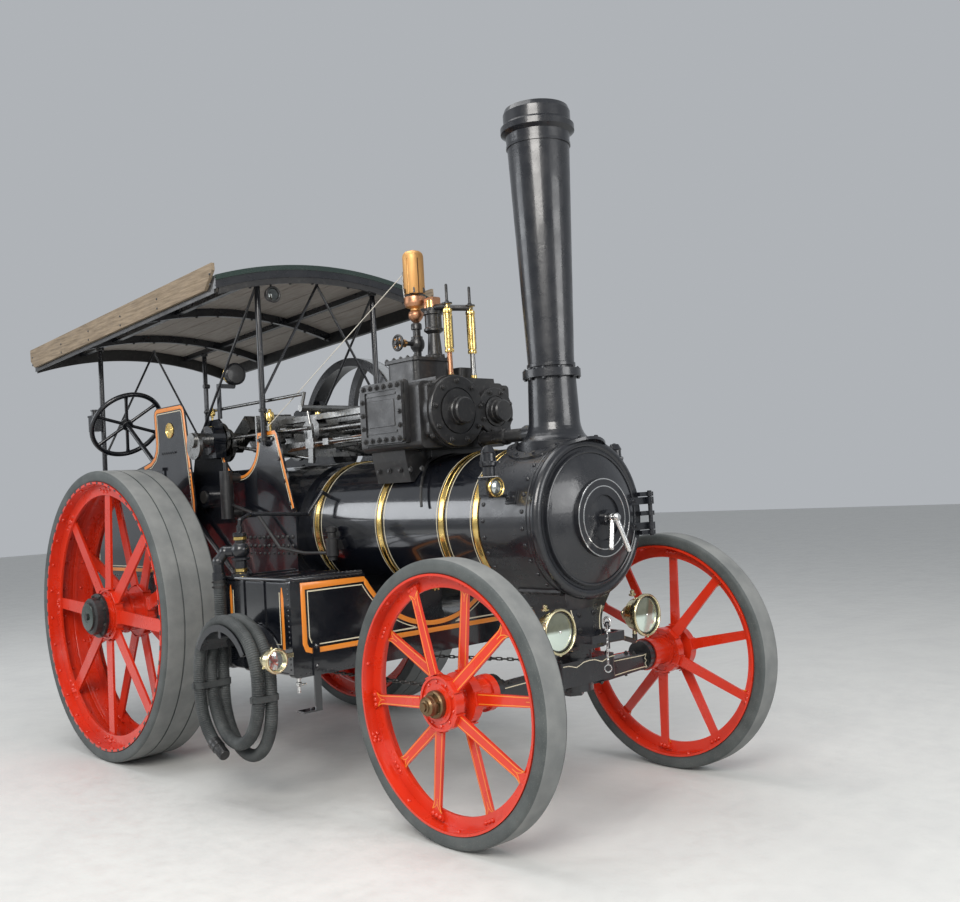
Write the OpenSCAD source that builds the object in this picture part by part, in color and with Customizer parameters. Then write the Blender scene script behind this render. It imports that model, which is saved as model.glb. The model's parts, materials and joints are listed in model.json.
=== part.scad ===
// Steam traction engine, full size, in millimetres.
// X runs forward, Y to the engine's left, Z up, and the wheels stand on Z = 0.
// Inside the modules X is counted from the front axle, and datum() moves it to the part's frame.

/* [Overall] */
// Distance between the front and rear axles
wheelbase = 3205; // [3100:5:3300]
// Distance from the front axle back to the rear edge of the canopy
canopy_reach = 5100; // [5000:5:5200]
// Height of the boiler's centre line
boiler_z = 1520; // [1510:1:1530]
// Gap between pieces that seat on each other
seat = 0.3; // [0.2:0.05:0.4]
// Gap all round a shaft in its bearing
run_gap = 0.3; // [0.2:0.05:0.35]

/* [Front wheels] */
// Diameter over the rubber
front_d = 1382; // [1350:1:1400]
// Width of the rubber tyre
front_w = 152; // [140:1:160]
// Thickness of the rubber tyre
front_rubber = 70; // [50:1:80]
// Distance over the outer faces of the two tyres
front_track = 1897; // [1880:1:1920]
// Thickness of the steel rim
front_rim_t = 12; // [8:1:16]
// Depth of the ring that the spokes are riveted to
front_web_h = 62; // [50:1:75]
// Width of a spoke
front_spoke_w = 58; // [45:1:65]
// Thickness of a spoke
front_spoke_t = 14; // [10:1:18]
// Spokes on each side of the hub
front_spokes = 5; // [4:1:7]
// Radius of the cast hub rings
front_hub_r = 132; // [120:1:150]
// Distance between the middles of the two hub rings
front_hub_gap = 124; // [110:1:140]

/* [Rear wheels] */
// Diameter over the rubber
rear_d = 1980; // [1950:1:2000]
// Width of the rubber tyre
rear_w = 376; // [360:1:390]
// Thickness of the rubber tyre
rear_rubber = 74; // [60:1:85]
// Distance over the outer faces of the two tyres
rear_track = 2468; // [2460:1:2500]
// Thickness of the steel rim
rear_rim_t = 16; // [10:1:20]
// Depth of the two rings that the spokes are riveted to
rear_web_h = 78; // [60:1:90]
// Distance between the middles of those two rings
rear_web_gap = 232; // [210:1:250]
// Width of a spoke
rear_spoke_w = 86; // [70:1:95]
// Thickness of a spoke
rear_spoke_t = 16; // [12:1:20]
// Spokes on each side of the hub
rear_spokes = 8; // [6:1:9]
// Radius of the hub rings
rear_hub_r = 172; // [160:1:185]

/* [Boiler and smokebox] */
// Radius of the boiler barrel over its cladding
barrel_r = 405; // [395:1:412]
// Radius of the smokebox
smokebox_r = 420; // [416:1:430]
// Length of the smokebox
smokebox_l = 420; // [400:1:440]
// Distance of the smokebox front plate ahead of the front axle
smokebox_front = 200; // [190:1:210]
// Thickness of the smokebox plates
smokebox_t = 12; // [8:1:14]
// Radius of the smokebox door
door_r = 360; // [350:1:366]
// How far the door bulges
door_dish = 80; // [60:1:90]
// Width of a brass boiler band
band_w = 42; // [30:1:50]
// Thickness of a brass boiler band
band_t = 5; // [3:1:7]
// Distance from the front axle back to the firebox
firebox_front = 1900; // [1890:1:1910]
// Length of the firebox
firebox_l = 850; // [830:1:870]
// Half width of the firebox
firebox_hw = 450; // [446:1:456]

/* [Chimney] */
// Distance of the chimney behind the front axle
chimney_back = 20; // [0:1:40]
// Height of the flange between the base and the barrel
chimney_flange_z = 2310; // [2280:1:2340]
// Outer radius of the barrel at its foot
chimney_foot_r = 126; // [118:1:134]
// Outer radius of the barrel at its head
chimney_head_r = 172; // [160:1:180]
// Height of the chimney's rim
chimney_top = 3780; // [3700:1:3850]
// Thickness of the chimney's plate
chimney_t = 9; // [6:1:12]

/* [Cylinders and motion] */
// Height of the cylinders' centre line and of the crankshaft
crank_z = 2160; // [2155:1:2165]
// Distance from the front axle back to the crankshaft
crank_back = 2860; // [2850:1:2870]
// Crank throw, half the stroke
throw_r = 127; // [115:1:130]
// Length of a connecting rod between its centres
rod_l = 760; // [750:1:770]
// Sideways place of the low pressure cylinder
low_y = -203; // [-206:1:-200]
// Sideways place of the high pressure cylinder
high_y = 101; // [98:1:104]
// Radius of the low pressure cylinder's cover
low_cover_r = 205; // [198:1:208]
// Radius of the high pressure cylinder's cover
high_cover_r = 142; // [135:1:146]
// Distance from the front axle back to the front face of the cylinder block
block_front = 600; // [590:1:610]
// Length of the cylinder block
block_l = 600; // [580:1:620]
// Radius of the flywheel
flywheel_r = 640; // [600:1:650]
// Width of the flywheel's rim
flywheel_w = 140; // [120:1:142]
// Sideways place of the flywheel's middle
flywheel_y = 770; // [765:1:772]
// Angle of the low pressure crank at rest
crank_angle = 35; // [30:1:40]

/* [Frame and tender] */
// Thickness of the hornplates
horn_t = 14; // [10:1:16]
// Half width of the tender
tender_hw = 630; // [620:1:640]
// Distance from the front axle back to the front of the tender
tender_front = 3360; // [3350:1:3370]
// Distance from the front axle back to the rear of the tender
tender_rear = 4680; // [4640:1:4720]
// Height of the tender's top edge
tender_top = 1985; // [1950:1:2000]
// Thickness of the tender's plates
tender_t = 10; // [6:1:12]
// Height of the footplate's top
footplate_z = 1150; // [1130:1:1170]

/* [Belly tank] */
// Half width of the tank
tank_hw = 1050; // [1040:1:1056]
// Distance from the front axle back to the tank's front plate
tank_front = 1100; // [1095:1:1110]
// Length of the tank from front to rear
tank_l = 740; // [700:1:750]
// Height of the tank's bottom
tank_low = 720; // [700:1:740]
// Height of the tank's top
tank_high = 1270; // [1240:1:1300]
// Radius of the cut that clears the boiler
tank_cut_r = 600; // [590:1:610]

/* [Steering] */
// Height of the middle of the front axle beam
beam_z = 668; // [664:1:672]
// Height of the front axle beam's section
beam_h = 92; // [84:1:100]
// Depth of the front axle beam's section
beam_d = 100; // [90:1:110]
// Radius of the king pin
king_r = 40; // [34:1:44]
// Radius of the steering wheel
steer_r = 300; // [280:1:320]

/* [Canopy] */
// Half width of the canopy
canopy_hw = 900; // [880:1:920]
// Distance from the front axle back to the canopy's front edge
canopy_front = 2010; // [1980:1:2040]
// Height of the eave at the front
eave_z = 3147; // [3130:1:3160]
// How far the roof falls from front to rear
canopy_fall = 139; // [120:1:150]
// Rise of the roof from eave to crown
canopy_rise = 143; // [130:1:160]
// Thickness of the roof
roof_t = 14; // [10:1:18]
// Depth of the side boards
fascia_h = 155; // [140:1:170]
// Radius of the canopy posts
post_r = 20; // [16:1:24]

/* [Hose] */
// Outer diameter of the suction hose
hose_d = 72; // [72:1:72]
// Radius of the hanging loops at the middle of the hose
loop_r = 322; // [322:1:322]

/* [Hidden] */
$fn = 64;
front_r = front_d / 2;
rear_r = rear_d / 2;
front_axle_x = (canopy_reach - front_r) / 2;
front_mid_y = (front_track - front_w) / 2;
rear_mid_y = (rear_track - rear_w) / 2;
smokebox_rear = smokebox_front - smokebox_l;
flange_t = 14;

// Moves from the front axle's datum to the part's frame
module datum() {
    translate([front_axle_x, 0, 0]) children();
}

// A cylinder along X, from x0 to x1
module along_x(x0, x1, r, y = 0, z = 0) {
    translate([x0, y, z]) rotate([0, 90, 0]) cylinder(h = x1 - x0, r = r);
}

// A cylinder along Y, from y0 to y1
module along_y(y0, y1, r, x = 0, z = 0) {
    translate([x, y0, z]) rotate([-90, 0, 0]) cylinder(h = y1 - y0, r = r);
}

// A box from its lowest to its highest corner
module block(low, high) {
    translate(low) cube(high - low);
}

// Stands its children at one point with their Z axis toward another
module aimed(a, b) {
    d = b - a;
    translate(a) rotate([0, atan2(norm([d.x, d.y]), d.z), atan2(d.y, d.x)]) children();
}

// A round rod between two points
module rod(a, b, r) {
    aimed(a, b) cylinder(h = norm(b - a), r = r);
}

// A plate in the XZ plane, between two values of Y
module side_plate(points, y0, y1) {
    translate([0, y1, 0]) rotate([90, 0, 0]) linear_extrude(y1 - y0) polygon(points);
}

// A plate in the YZ plane, between two values of X
module cross_plate(points, x0, x1) {
    translate([x0, 0, 0]) rotate([90, 0, 90]) linear_extrude(x1 - x0) polygon(points);
}

// A hoop about Z with its middle at height z
module hoop(h, outer, inner, z = 0) {
    translate([0, 0, z - h / 2]) difference() {
        cylinder(h = h, r = outer, $fn = 128);
        translate([0, 0, -1]) cylinder(h = h + 2, r = inner, $fn = 128);
    }
}

// Points on an arc about c, from angle a0 to a1
function arc(c, r, a0, a1, n = 6) = [for (i = [0:n]) let(a = a0 + (a1 - a0) * i / n) c + r * [cos(a), sin(a)]];

// The outline of a rectangle with rounded corners
function rounded(low, high, r) = concat(
    arc([high.x - r, high.y - r], r, 0, 90), arc([low.x + r, high.y - r], r, 90, 180),
    arc([low.x + r, low.y + r], r, 180, 270), arc([high.x - r, low.y + r], r, 270, 360));

// A plate that lies flat, between two heights
module flat_plate(points, z0, z1) {
    translate([0, 0, z0]) linear_extrude(z1 - z0) polygon(points);
}

// A body turned about the X direction through a point, its profile given as distance out and distance along
module turned_x(x, y, z, profile) {
    translate([x, y, z]) rotate([0, 90, 0]) rotate_extrude($fn = 96) polygon(profile);
}

// A bent pipe through a list of points, with an elbow a little fuller than the pipe at each bend. The elbow's
// ball is turned so that its poles lie inside the metal.
elbow_swell = 1.12;
elbow_turn = 40;

module pipe(points, r) {
    for (i = [1:len(points) - 1]) rod(points[i - 1], points[i], r);
    if (len(points) > 2) for (i = [1:len(points) - 2])
        aimed(points[i], points[i - 1]) rotate([elbow_turn, 0, 0]) sphere(r = r * elbow_swell);
}

// The same thing on both sides of the engine
module both_sides() {
    children();
    mirror([0, 1, 0]) children();
}

// Boiler

module boiler_barrel() {
    color("#10131c") datum() along_x(-firebox_front, smokebox_rear, barrel_r, 0, boiler_z);
}

band_places = [-262, -541, -1100, -1744];

module boiler_bands() {
    color("goldenrod") datum()
        for (x = band_places) difference() {
            along_x(x - band_w / 2, x + band_w / 2, barrel_r + seat + band_t, 0, boiler_z);
            along_x(x - band_w, x + band_w, barrel_r + seat, 0, boiler_z);
        }
}

firebox_rear = firebox_front + firebox_l;
firebox_low = 800;
firebox_top = 1940;

module firebox() {
    color("#10131c") datum() {
        along_x(-firebox_rear, -firebox_front, firebox_hw, 0, firebox_top - firebox_hw);
        block([-firebox_rear, -firebox_hw, firebox_low], [-firebox_front, firebox_hw, firebox_top - firebox_hw]);
    }
}

ashpan_low = 560;

module ashpan() {
    color("#15161a") datum()
        cross_plate([[-400, firebox_low], [400, firebox_low], [330, ashpan_low], [-330, ashpan_low]],
            -firebox_rear + 30, -firebox_front - 150);
}

// Smokebox and door

flue_r = 112;

module smokebox() {
    color("#17181b") datum() difference() {
        along_x(smokebox_rear, smokebox_front, smokebox_r, 0, boiler_z);
        along_x(smokebox_rear + smokebox_t, smokebox_front - smokebox_t, smokebox_r - smokebox_t, 0, boiler_z);
        along_x(smokebox_front - 2 * smokebox_t, smokebox_front + 1, door_r - 20, 0, boiler_z);
        translate([-chimney_back, 0, boiler_z]) cylinder(h = smokebox_r + 10, r = flue_r);
    }
}

door_edge_t = 14;
door_back = smokebox_front + seat;
door_shell = 12;
dish_base_r = door_r - 14;
dish_r = (dish_base_r * dish_base_r + door_dish * door_dish) / (2 * door_dish);
dish_face = door_back + door_edge_t;
hinge_x = smokebox_front + 34;
hinge_y = smokebox_r + 50;
hinge_zs = [boiler_z - 70, boiler_z + 70];
hinge_pin_r = 12;
knuckle_r = 22;
knuckle_h = 40;
ring_r = 207;
ring_inner_r = 120;
ring_face = smokebox_front + 96;
boss_r = 42;
boss_face = ring_face + 34;

// Place along X of the door's bulge at a distance from its middle
function dish_x(r) = dish_face + door_dish - dish_r + sqrt(dish_r * dish_r - r * r);

door_steps = 8;
door_profile = concat(
    [for (i = [0:door_steps]) let (r = i * (dish_base_r - 50) / door_steps) [r, dish_x(r) - door_shell]],
    [[dish_base_r - 40, door_back], [door_r, door_back], [door_r, dish_face], [dish_base_r, dish_face]],
    [for (i = [1:door_steps]) let (r = dish_base_r - i * (dish_base_r - ring_r) / door_steps) [r, dish_x(r)]],
    [[ring_r, ring_face], [ring_inner_r, ring_face], [ring_inner_r, dish_x(ring_inner_r)],
     [boss_r, dish_x(boss_r)], [boss_r, boss_face], [0, boss_face]]);

module smokebox_door() {
    color("#17181b") datum() {
        difference() {
            union() {
                translate([0, 0, boiler_z]) rotate([0, 90, 0]) rotate_extrude($fn = 96) polygon(door_profile);
                for (z = hinge_zs) {
                    block([door_back, door_r - 90, z - 20], [dish_face + 8, hinge_y, z + 20]);
                    translate([hinge_x, hinge_y, z - knuckle_h / 2]) cylinder(h = knuckle_h, r = knuckle_r);
                }
            }
            translate([hinge_x, hinge_y, boiler_z - 200]) cylinder(h = 400, r = hinge_pin_r + run_gap);
        }
        along_x(boss_face - 12, boss_face + 60, 16, 0, boiler_z);
        rod([boss_face + 14, 0, boiler_z], [boss_face + 40, -52, boiler_z - 160], 11);
        rod([boss_face + 42, 0, boiler_z], [boss_face + 70, 58, boiler_z - 176], 11);
    }
}

module door_hinge() {
    color("#17181b") datum() {
        translate([hinge_x, hinge_y, boiler_z - 125]) cylinder(h = 250, r = hinge_pin_r);
        for (z = [boiler_z - 106, boiler_z, boiler_z + 106]) {
            difference() {
                union() {
                    block([smokebox_front, smokebox_r - 36, z - 12], [hinge_x, hinge_y, z + 12]);
                    translate([hinge_x, hinge_y, z - 12]) cylinder(h = 24, r = knuckle_r);
                }
            }
        }
    }
}

// Chimney

base_flare_r = 215;

exhaust_r = 38;
exhaust_z = 1998;
exhaust_seat = 210;

module chimney_base() {
    color("#17181b") datum() translate([-chimney_back, 0, 0]) difference() {
        union() {
            rotate_extrude($fn = 96) polygon(concat(
                [[0, boiler_z + 300], [base_flare_r, boiler_z + 300], [base_flare_r, boiler_z + smokebox_r - 12]],
                [for (a = [0:10:90]) [base_flare_r - 75 * sin(a), boiler_z + smokebox_r + 122 - 120 * cos(a)]],
                [[chimney_foot_r + 6, chimney_flange_z - 20], [chimney_foot_r + 34, chimney_flange_z - 20],
                 [chimney_foot_r + 34, chimney_flange_z], [0, chimney_flange_z]]));
            along_x(-exhaust_seat, 0, exhaust_r + 14, 0, exhaust_z);
        }
        translate([0, 0, boiler_z]) cylinder(h = 1000, r = chimney_foot_r - chimney_t);
        along_x(-500, 500, smokebox_r + seat, 0, boiler_z);
    }
}

module chimney() {
    color("#17181b") datum() translate([-chimney_back, 0, 0])
        rotate_extrude($fn = 96) polygon([
            [chimney_foot_r - chimney_t, chimney_flange_z],
            [chimney_foot_r + 34, chimney_flange_z], [chimney_foot_r + 34, chimney_flange_z + 22],
            [chimney_foot_r, chimney_flange_z + 22],
            [chimney_head_r, chimney_top - 215], [chimney_head_r + 6, chimney_top - 215],
            [chimney_head_r + 6, chimney_top - 200], [chimney_head_r + 2, chimney_top - 200],
            [chimney_head_r + 5, chimney_top - 150], [chimney_head_r + 32, chimney_top - 132],
            [chimney_head_r + 32, chimney_top - 100], [chimney_head_r + 14, chimney_top - 84],
            [chimney_head_r + 14, chimney_top - 26], [chimney_head_r + 4, chimney_top],
            [chimney_head_r - chimney_t, chimney_top],
            [chimney_head_r - chimney_t, chimney_top - 215]]);
}

// Cylinders

block_rear = block_front + block_l;
block_right = -430;
block_left = 245;
block_top = 2362;
cover_t = 28;

block_rim = 46;
block_shoulder = block_top - 24;
housing_top = block_top + 140;
housing_flange = 20;
saddle_points = [[block_right + 30, crank_z - 100], [-380, 1900], [-350, 1770], [350, 1770], [300, 1900],
    [block_left - 30, crank_z - 100]];

module cylinder_block() {
    color("#15161a") datum() {
        difference() {
            union() {
                cross_plate(rounded([block_right, crank_z - 204], [block_left, block_shoulder], 40),
                    -block_rear, -block_front - block_rim);
                cross_plate(rounded([block_right + 24, crank_z - 140], [block_left - 4, block_shoulder - 18], 24),
                    -block_front - block_rim - 1, -block_front);
                cross_plate(saddle_points, -block_rear + 40, -block_front - 250);
                along_x(-block_rear, -block_front, low_cover_r + 8, low_y, crank_z);
                along_x(-block_rear, -block_front, high_cover_r + 10, high_y, crank_z);
                cross_plate([[-330, crank_z], [180, crank_z], [150, block_top], [-310, block_top]],
                    -block_rear + 40, -block_front - 30);
                flat_plate(rounded([-block_rear + 110, -300], [-block_front - 214, -30], 36),
                    block_top - 1, housing_top - housing_flange);
                flat_plate(rounded([-block_rear + 96, -314], [-block_front - 200, -16], 30),
                    housing_top - housing_flange, housing_top);
                flat_plate(rounded([-block_front - 250, 0], [-block_front - 160, 130], 20),
                    block_top - 1, block_top + 80);
            }
            along_x(-3000, 0, barrel_r + band_t + 2 * seat, 0, boiler_z);
        }
    }
}

boss_l = 62;
piston_rod_r = 24;

// Front cover of a cylinder: bolted flange, sunk ring and round boss
function front_cover(r, boss) = [[0, 0], [r, 0], [r, cover_t - 4], [r - 4, cover_t], [r * 0.66, cover_t],
    [r * 0.66, cover_t - 8], [r * 0.62, cover_t - 8], [r * 0.62, cover_t + 4], [boss + 8, cover_t + 8],
    [boss + 4, cover_t + 30], [boss, cover_t + 34], [boss, cover_t + boss_l],
    [boss - 8, cover_t + boss_l + 8], [0, cover_t + boss_l + 8]];

// Rear cover with its stuffing box, bored for the piston rod
function rear_cover(r) = [[piston_rod_r + run_gap, 0], [r - 20, 0], [r - 20, cover_t - 2],
    [64, cover_t - 2], [58, cover_t + 10], [50, cover_t + 30], [50, cover_t + 44], [60, cover_t + 44],
    [60, cover_t + 60], [piston_rod_r + run_gap, cover_t + 60]];

module cylinder_covers() {
    color("#1b1c20") datum()
        for (c = [[low_y, low_cover_r, 76], [high_y, high_cover_r, 66]]) {
            turned_x(-block_front, c[0], crank_z, front_cover(c[1], c[2]));
            translate([-block_rear, c[0], crank_z]) mirror([1, 0, 0]) turned_x(0, 0, 0, rear_cover(c[1]));
        }
}

chest_front = -730;
chest_rear = -1130;

module valve_chest() {
    color("#1b1c20") datum() {
        side_plate(rounded([chest_rear, 1990], [chest_front, block_top - 6], 24), block_right - 34, block_right);
        difference() {
            side_plate(rounded([chest_rear + 8, 1998], [chest_front - 8, block_top - 14], 20),
                block_right - 54, block_right - 33);
            side_plate(rounded([chest_rear + 52, 2042], [chest_front - 52, block_top - 58], 8),
                block_right - 60, block_right - 46);
        }
    }
}

column_places = [[-720, -112], [-720, 72]];

safety_x = -870;
safety_y = -95;

module brass_columns() {
    color("goldenrod") datum() {
        for (p = column_places) translate([p[0], p[1], 0]) rotate_extrude() polygon([
            [0, block_top + seat], [20, block_top + seat], [20, block_top + 24], [14, block_top + 40],
            [12, block_top + 160],
            [26, block_top + 160], [26, block_top + 176], [22, block_top + 180], [22, block_top + 390],
            [27, block_top + 396], [27, block_top + 416], [16, block_top + 424], [16, block_top + 446],
            [30, block_top + 446], [30, block_top + 454], [7, block_top + 454], [7, block_top + 560],
            [0, block_top + 566]]);
        translate([safety_x, safety_y, 0]) rotate_extrude() polygon([
            [0, housing_top], [58, housing_top], [58, housing_top + 16], [44, housing_top + 24],
            [34, housing_top + 150],
            [58, housing_top + 168], [58, housing_top + 180], [50, housing_top + 188], [50, housing_top + 262],
            [58, housing_top + 268], [58, housing_top + 286], [40, housing_top + 292], [40, housing_top + 352],
            [0, housing_top + 352]]);
        for (p = column_places)
            rod([safety_x, safety_y, housing_top + 310], [p[0], p[1], block_top + 438], 11);
    }
}

whistle_x = -1000;
whistle_y = -120;

bell_ring_r = 42;

module whistle() {
    color("peru") datum() {
        translate([whistle_x, whistle_y, housing_top]) {
            rotate_extrude() polygon([[0, 0], [40, 0], [40, 14], [22, 18], [22, 60], [30, 64], [30, 78], [20, 82],
                [20, 130], [34, 134], [34, 150], [16, 156], [16, 240], [28, 250], [42, 268], [46, 284], [42, 300],
                [30, 312], [30, 322], [58, 334], [66, 352], [66, 392], [56, 396], [12, 398], [12, 640],
                [0, 648]]);
            translate([0, 0, 106]) sphere(r = 42);
            for (a = [30:60:330]) rotate([0, 0, a]) translate([bell_ring_r, 0, 410])
                cylinder(h = 244, r = bell_ring_r / 2 - seat);
            translate([0, 0, 412]) cylinder(h = 240, r = bell_ring_r);
            along_y(-150, 0, 13, 0, 106);
            along_y(-162, -142, 18, 0, 106);
            along_y(-112, -96, 22, 0, 106);
            translate([0, -152, 106]) rotate([90, 0, 0])
                rotate_extrude() translate([44, 0]) circle(r = 6, $fn = 16);
            for (a = [0:45:135]) translate([0, -152, 106]) rotate([0, a, 0]) along_x(-43, 43, 5);
        }
    }
}

// Crankshaft and motion

shaft_r = 52;
pin_r = 55;
web_t = 60;
shaft_right = -672;
shaft_left = flywheel_y + flywheel_w / 2 - 20;
crank_places = [[low_y, crank_angle], [high_y, crank_angle + 90]];

module crank_throw(y, angle) {
    translate([-crank_back, y, crank_z]) rotate([0, -angle, 0])
        for (s = [-1, 1]) block([-70, s * 75 - web_t / 2, -62], [throw_r + 70, s * 75 + web_t / 2, 62]);
    translate([-crank_back, y, crank_z]) rotate([0, -angle, 0]) along_y(-76, 76, pin_r, throw_r, 0);
}

sheave_w = 26;
sheave_r = 96;
sheave_throw = 42;
pump_throw = 40;
pump_y = -640;
strap_t = 24;
// Eccentrics: place along the shaft, angle of the throw, and the end of the link that the rod works
eccentric_places = [[-412, 170, 1], [-378, -120, -1], [224, 260, 1], [257, -30, -1]];
module crankshaft() {
    color("silver") datum() {
        difference() {
            along_y(shaft_right, shaft_left, shaft_r, -crank_back, crank_z);
            for (c = crank_places) translate([-crank_back, c[0], crank_z])
                block([-80, -46, -80], [80, 46, 80]);
        }
        for (c = crank_places) crank_throw(c[0], c[1]);
        for (e = eccentric_places) translate([-crank_back, e[0], crank_z]) rotate([0, -e[1], 0])
            along_y(-sheave_w / 2, sheave_w / 2, sheave_r, sheave_throw, 0);
        along_y(pump_y - sheave_w / 2, pump_y + sheave_w / 2, sheave_r, -crank_back, crank_z - pump_throw);
        spur_pinion(pinion_teeth, pinion_r, -crank_back, crank_z, gear_y, gear_w, mesh_angle);
    }
}

flywheel_rim = 62;
flywheel_hub_r = 105;

module flywheel() {
    color("#15161a") datum() translate([-crank_back, flywheel_y, crank_z]) rotate([90, 0, 0]) {
        difference() {
            union() {
                hoop(flywheel_w, flywheel_r, flywheel_r - flywheel_rim);
                translate([0, 0, -70]) cylinder(h = 140, r = flywheel_hub_r);
                for (a = [0:72:288]) rotate([0, 0, a]) intersection() {
                    difference() {
                        translate([flywheel_r / 2, -flywheel_r * 0.55, -22])
                            cylinder(h = 44, r = flywheel_r * 0.78);
                        translate([flywheel_r / 2, -flywheel_r * 0.55, -30])
                            cylinder(h = 60, r = flywheel_r * 0.78 - 72);
                    }
                    block([60, -100, -40], [flywheel_r - flywheel_rim + 10, 200, 40]);
                }
            }
            translate([0, 0, -200]) cylinder(h = 400, r = shaft_r + run_gap);
        }
    }
}

function cross_x(angle) = -crank_back + throw_r * cos(angle)
    + sqrt(rod_l * rod_l - pow(throw_r * sin(angle), 2));

guide_rear = 2345;
guide_gap = 66;
slipper = guide_gap + 2 - seat;

module connecting_rods() {
    color("silver") datum()
        for (c = crank_places) {
            px = -crank_back + throw_r * cos(c[1]);
            pz = crank_z + throw_r * sin(c[1]);
            cx = cross_x(c[1]);
            difference() {
                union() {
                    rod([px, c[0], pz], [cx, c[0], crank_z], 26);
                    along_y(c[0] - 42, c[0] + 42, 92, px, pz);
                    translate([px, c[0], pz]) rotate([0, atan2(pz - crank_z, cx - px), 0])
                        block([-60, -38, -72], [120, 38, 72]);
                    side_plate([[cx - 90, crank_z - 40], [cx - 60, crank_z - slipper],
                        [cx + 60, crank_z - slipper],
                        [cx + 90, crank_z - 40], [cx + 90, crank_z + 40], [cx + 60, crank_z + slipper],
                        [cx - 60, crank_z + slipper], [cx - 90, crank_z + 40]], c[0] - 40, c[0] + 40);
                    along_x(cx, -block_rear - seat, piston_rod_r, c[0], crank_z);
                }
                along_y(c[0] - 90, c[0] + 90, pin_r + run_gap, px, pz);
            }
        }
}

module guide_bars() {
    color("silver") datum() {
        for (c = crank_places) for (side = [-1, 1])
            block([-guide_rear, c[0] - 40, crank_z + side * (guide_gap + 20) - 18],
                [-block_rear - cover_t - seat, c[0] + 40, crank_z + side * (guide_gap + 20) + 18]);
        difference() {
            block([-guide_rear - 16, -firebox_hw, crank_z - 160], [-guide_rear, firebox_hw, crank_z + 130]);
            for (c = crank_places) block([-guide_rear - 60, c[0] - 60, crank_z - guide_gap],
                [-guide_rear + 60, c[0] + 60, crank_z + guide_gap]);
            for (y = [valve_ys[0], valve_ys[1]]) block([-guide_rear - 60, y - 42, crank_z - 130],
                [-guide_rear + 60, y + 42, crank_z + 100]);
        }
    }
}

link_back = 1780;
link_z = 2060;
link_half = 100;
link_r = 1080;
valve_ys = [-395, 240];
weigh_z = 2290;
reach_y = -438;
lever_back = 3060;

// The curved link that two eccentric rods swing, with the block that drives the valve spindle
module expansion_link(y) {
    along = asin(link_half / link_r);
    side_plate(concat(arc([-link_back - link_r, link_z], link_r + 26, -along * 1.25, along * 1.25, 8),
        arc([-link_back - link_r, link_z], link_r - 26, along * 1.25, -along * 1.25, 8)), y - 9, y + 9);
    block([-link_back - 44, y - 17, link_z - 30], [-link_back + 44, y + 17, link_z + 30]);
    rod([-link_back, y, link_z], [-block_rear - seat, y, link_z], 10);
    block([-link_back + 150, y - 18, link_z - 20], [-link_back + 210, y + 18, link_z + 20]);
}

module valve_gear() {
    color("silver") datum() {
        for (e = eccentric_places) {
            mid = [-crank_back + sheave_throw * cos(e[1]), e[0], crank_z + sheave_throw * sin(e[1])];
            difference() {
                union() {
                    along_y(e[0] - sheave_w / 2, e[0] + sheave_w / 2, sheave_r + strap_t, mid.x, mid.z);
                    rod(mid, [-link_back, e[0], link_z + e[2] * link_half], 12);
                }
                along_y(e[0] - sheave_w, e[0] + sheave_w, sheave_r + run_gap, mid.x, mid.z);
            }
        }
        for (y = valve_ys) {
            expansion_link(y);
            rod([-link_back, y, link_z + link_half], [-link_back - 30, y, weigh_z], 10);
        }
        along_y(reach_y - 12, valve_ys[1] + 30, 22, -link_back - 30, weigh_z);
        rod([-link_back - 30, reach_y, weigh_z], [-link_back + 10, reach_y, weigh_z + 100], 12);
        rod([-link_back + 10, reach_y, weigh_z + 90], [-lever_back, reach_y, weigh_z + 90], 11);
    }
}

// Hornplates, bearings and gears

second_back = 2960;
second_z = 1760;
gear_y = 585;
gear_w = 56;
gear_shaft_r = 45;
axle_r = 76;

scoop_mid = [-2560, 2130];
scoop_r = 235;
horn_points = concat([[-firebox_front, 830], [-firebox_front, 1630], [-2078, 2150], [-2100, 2172], [-2318, 2172]],
    arc(scoop_mid, scoop_r, 0, -180, 14),
    [[-2795, 2280], [-2830, 2310], [-2960, 2310], [-3000, 2290], [-3200, 2040], [-tender_front, 1500],
    [-tender_front, 830]]);

module hornplates() {
    color("#10131c") datum() difference() {
        union() {
            both_sides() {
                side_plate(horn_points, firebox_hw, firebox_hw + horn_t);
                along_y(firebox_hw, firebox_hw + 96, 102, -crank_back, crank_z);
                block([-crank_back - 96, firebox_hw, crank_z - 130],
                    [-crank_back + 96, firebox_hw + 80, crank_z]);
                along_y(firebox_hw, firebox_hw + 80, 78, -second_back, second_z);
                along_y(firebox_hw, firebox_hw + 120, 140, -wheelbase, rear_r);
                block([-wheelbase - 120, firebox_hw, 840], [-wheelbase + 120, firebox_hw + 100, rear_r]);
            }
            along_y(firebox_hw, firebox_hw + 100, 82, -third_back, third_z);
        }
        along_y(-1000, 1000, shaft_r + run_gap, -crank_back, crank_z);
        along_y(-1000, 1000, gear_shaft_r + run_gap, -second_back, second_z);
        along_y(0, 1000, gear_shaft_r + run_gap, -third_back, third_z);
        along_y(-1000, 1000, axle_r + run_gap, -wheelbase, rear_r);
    }
}

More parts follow.
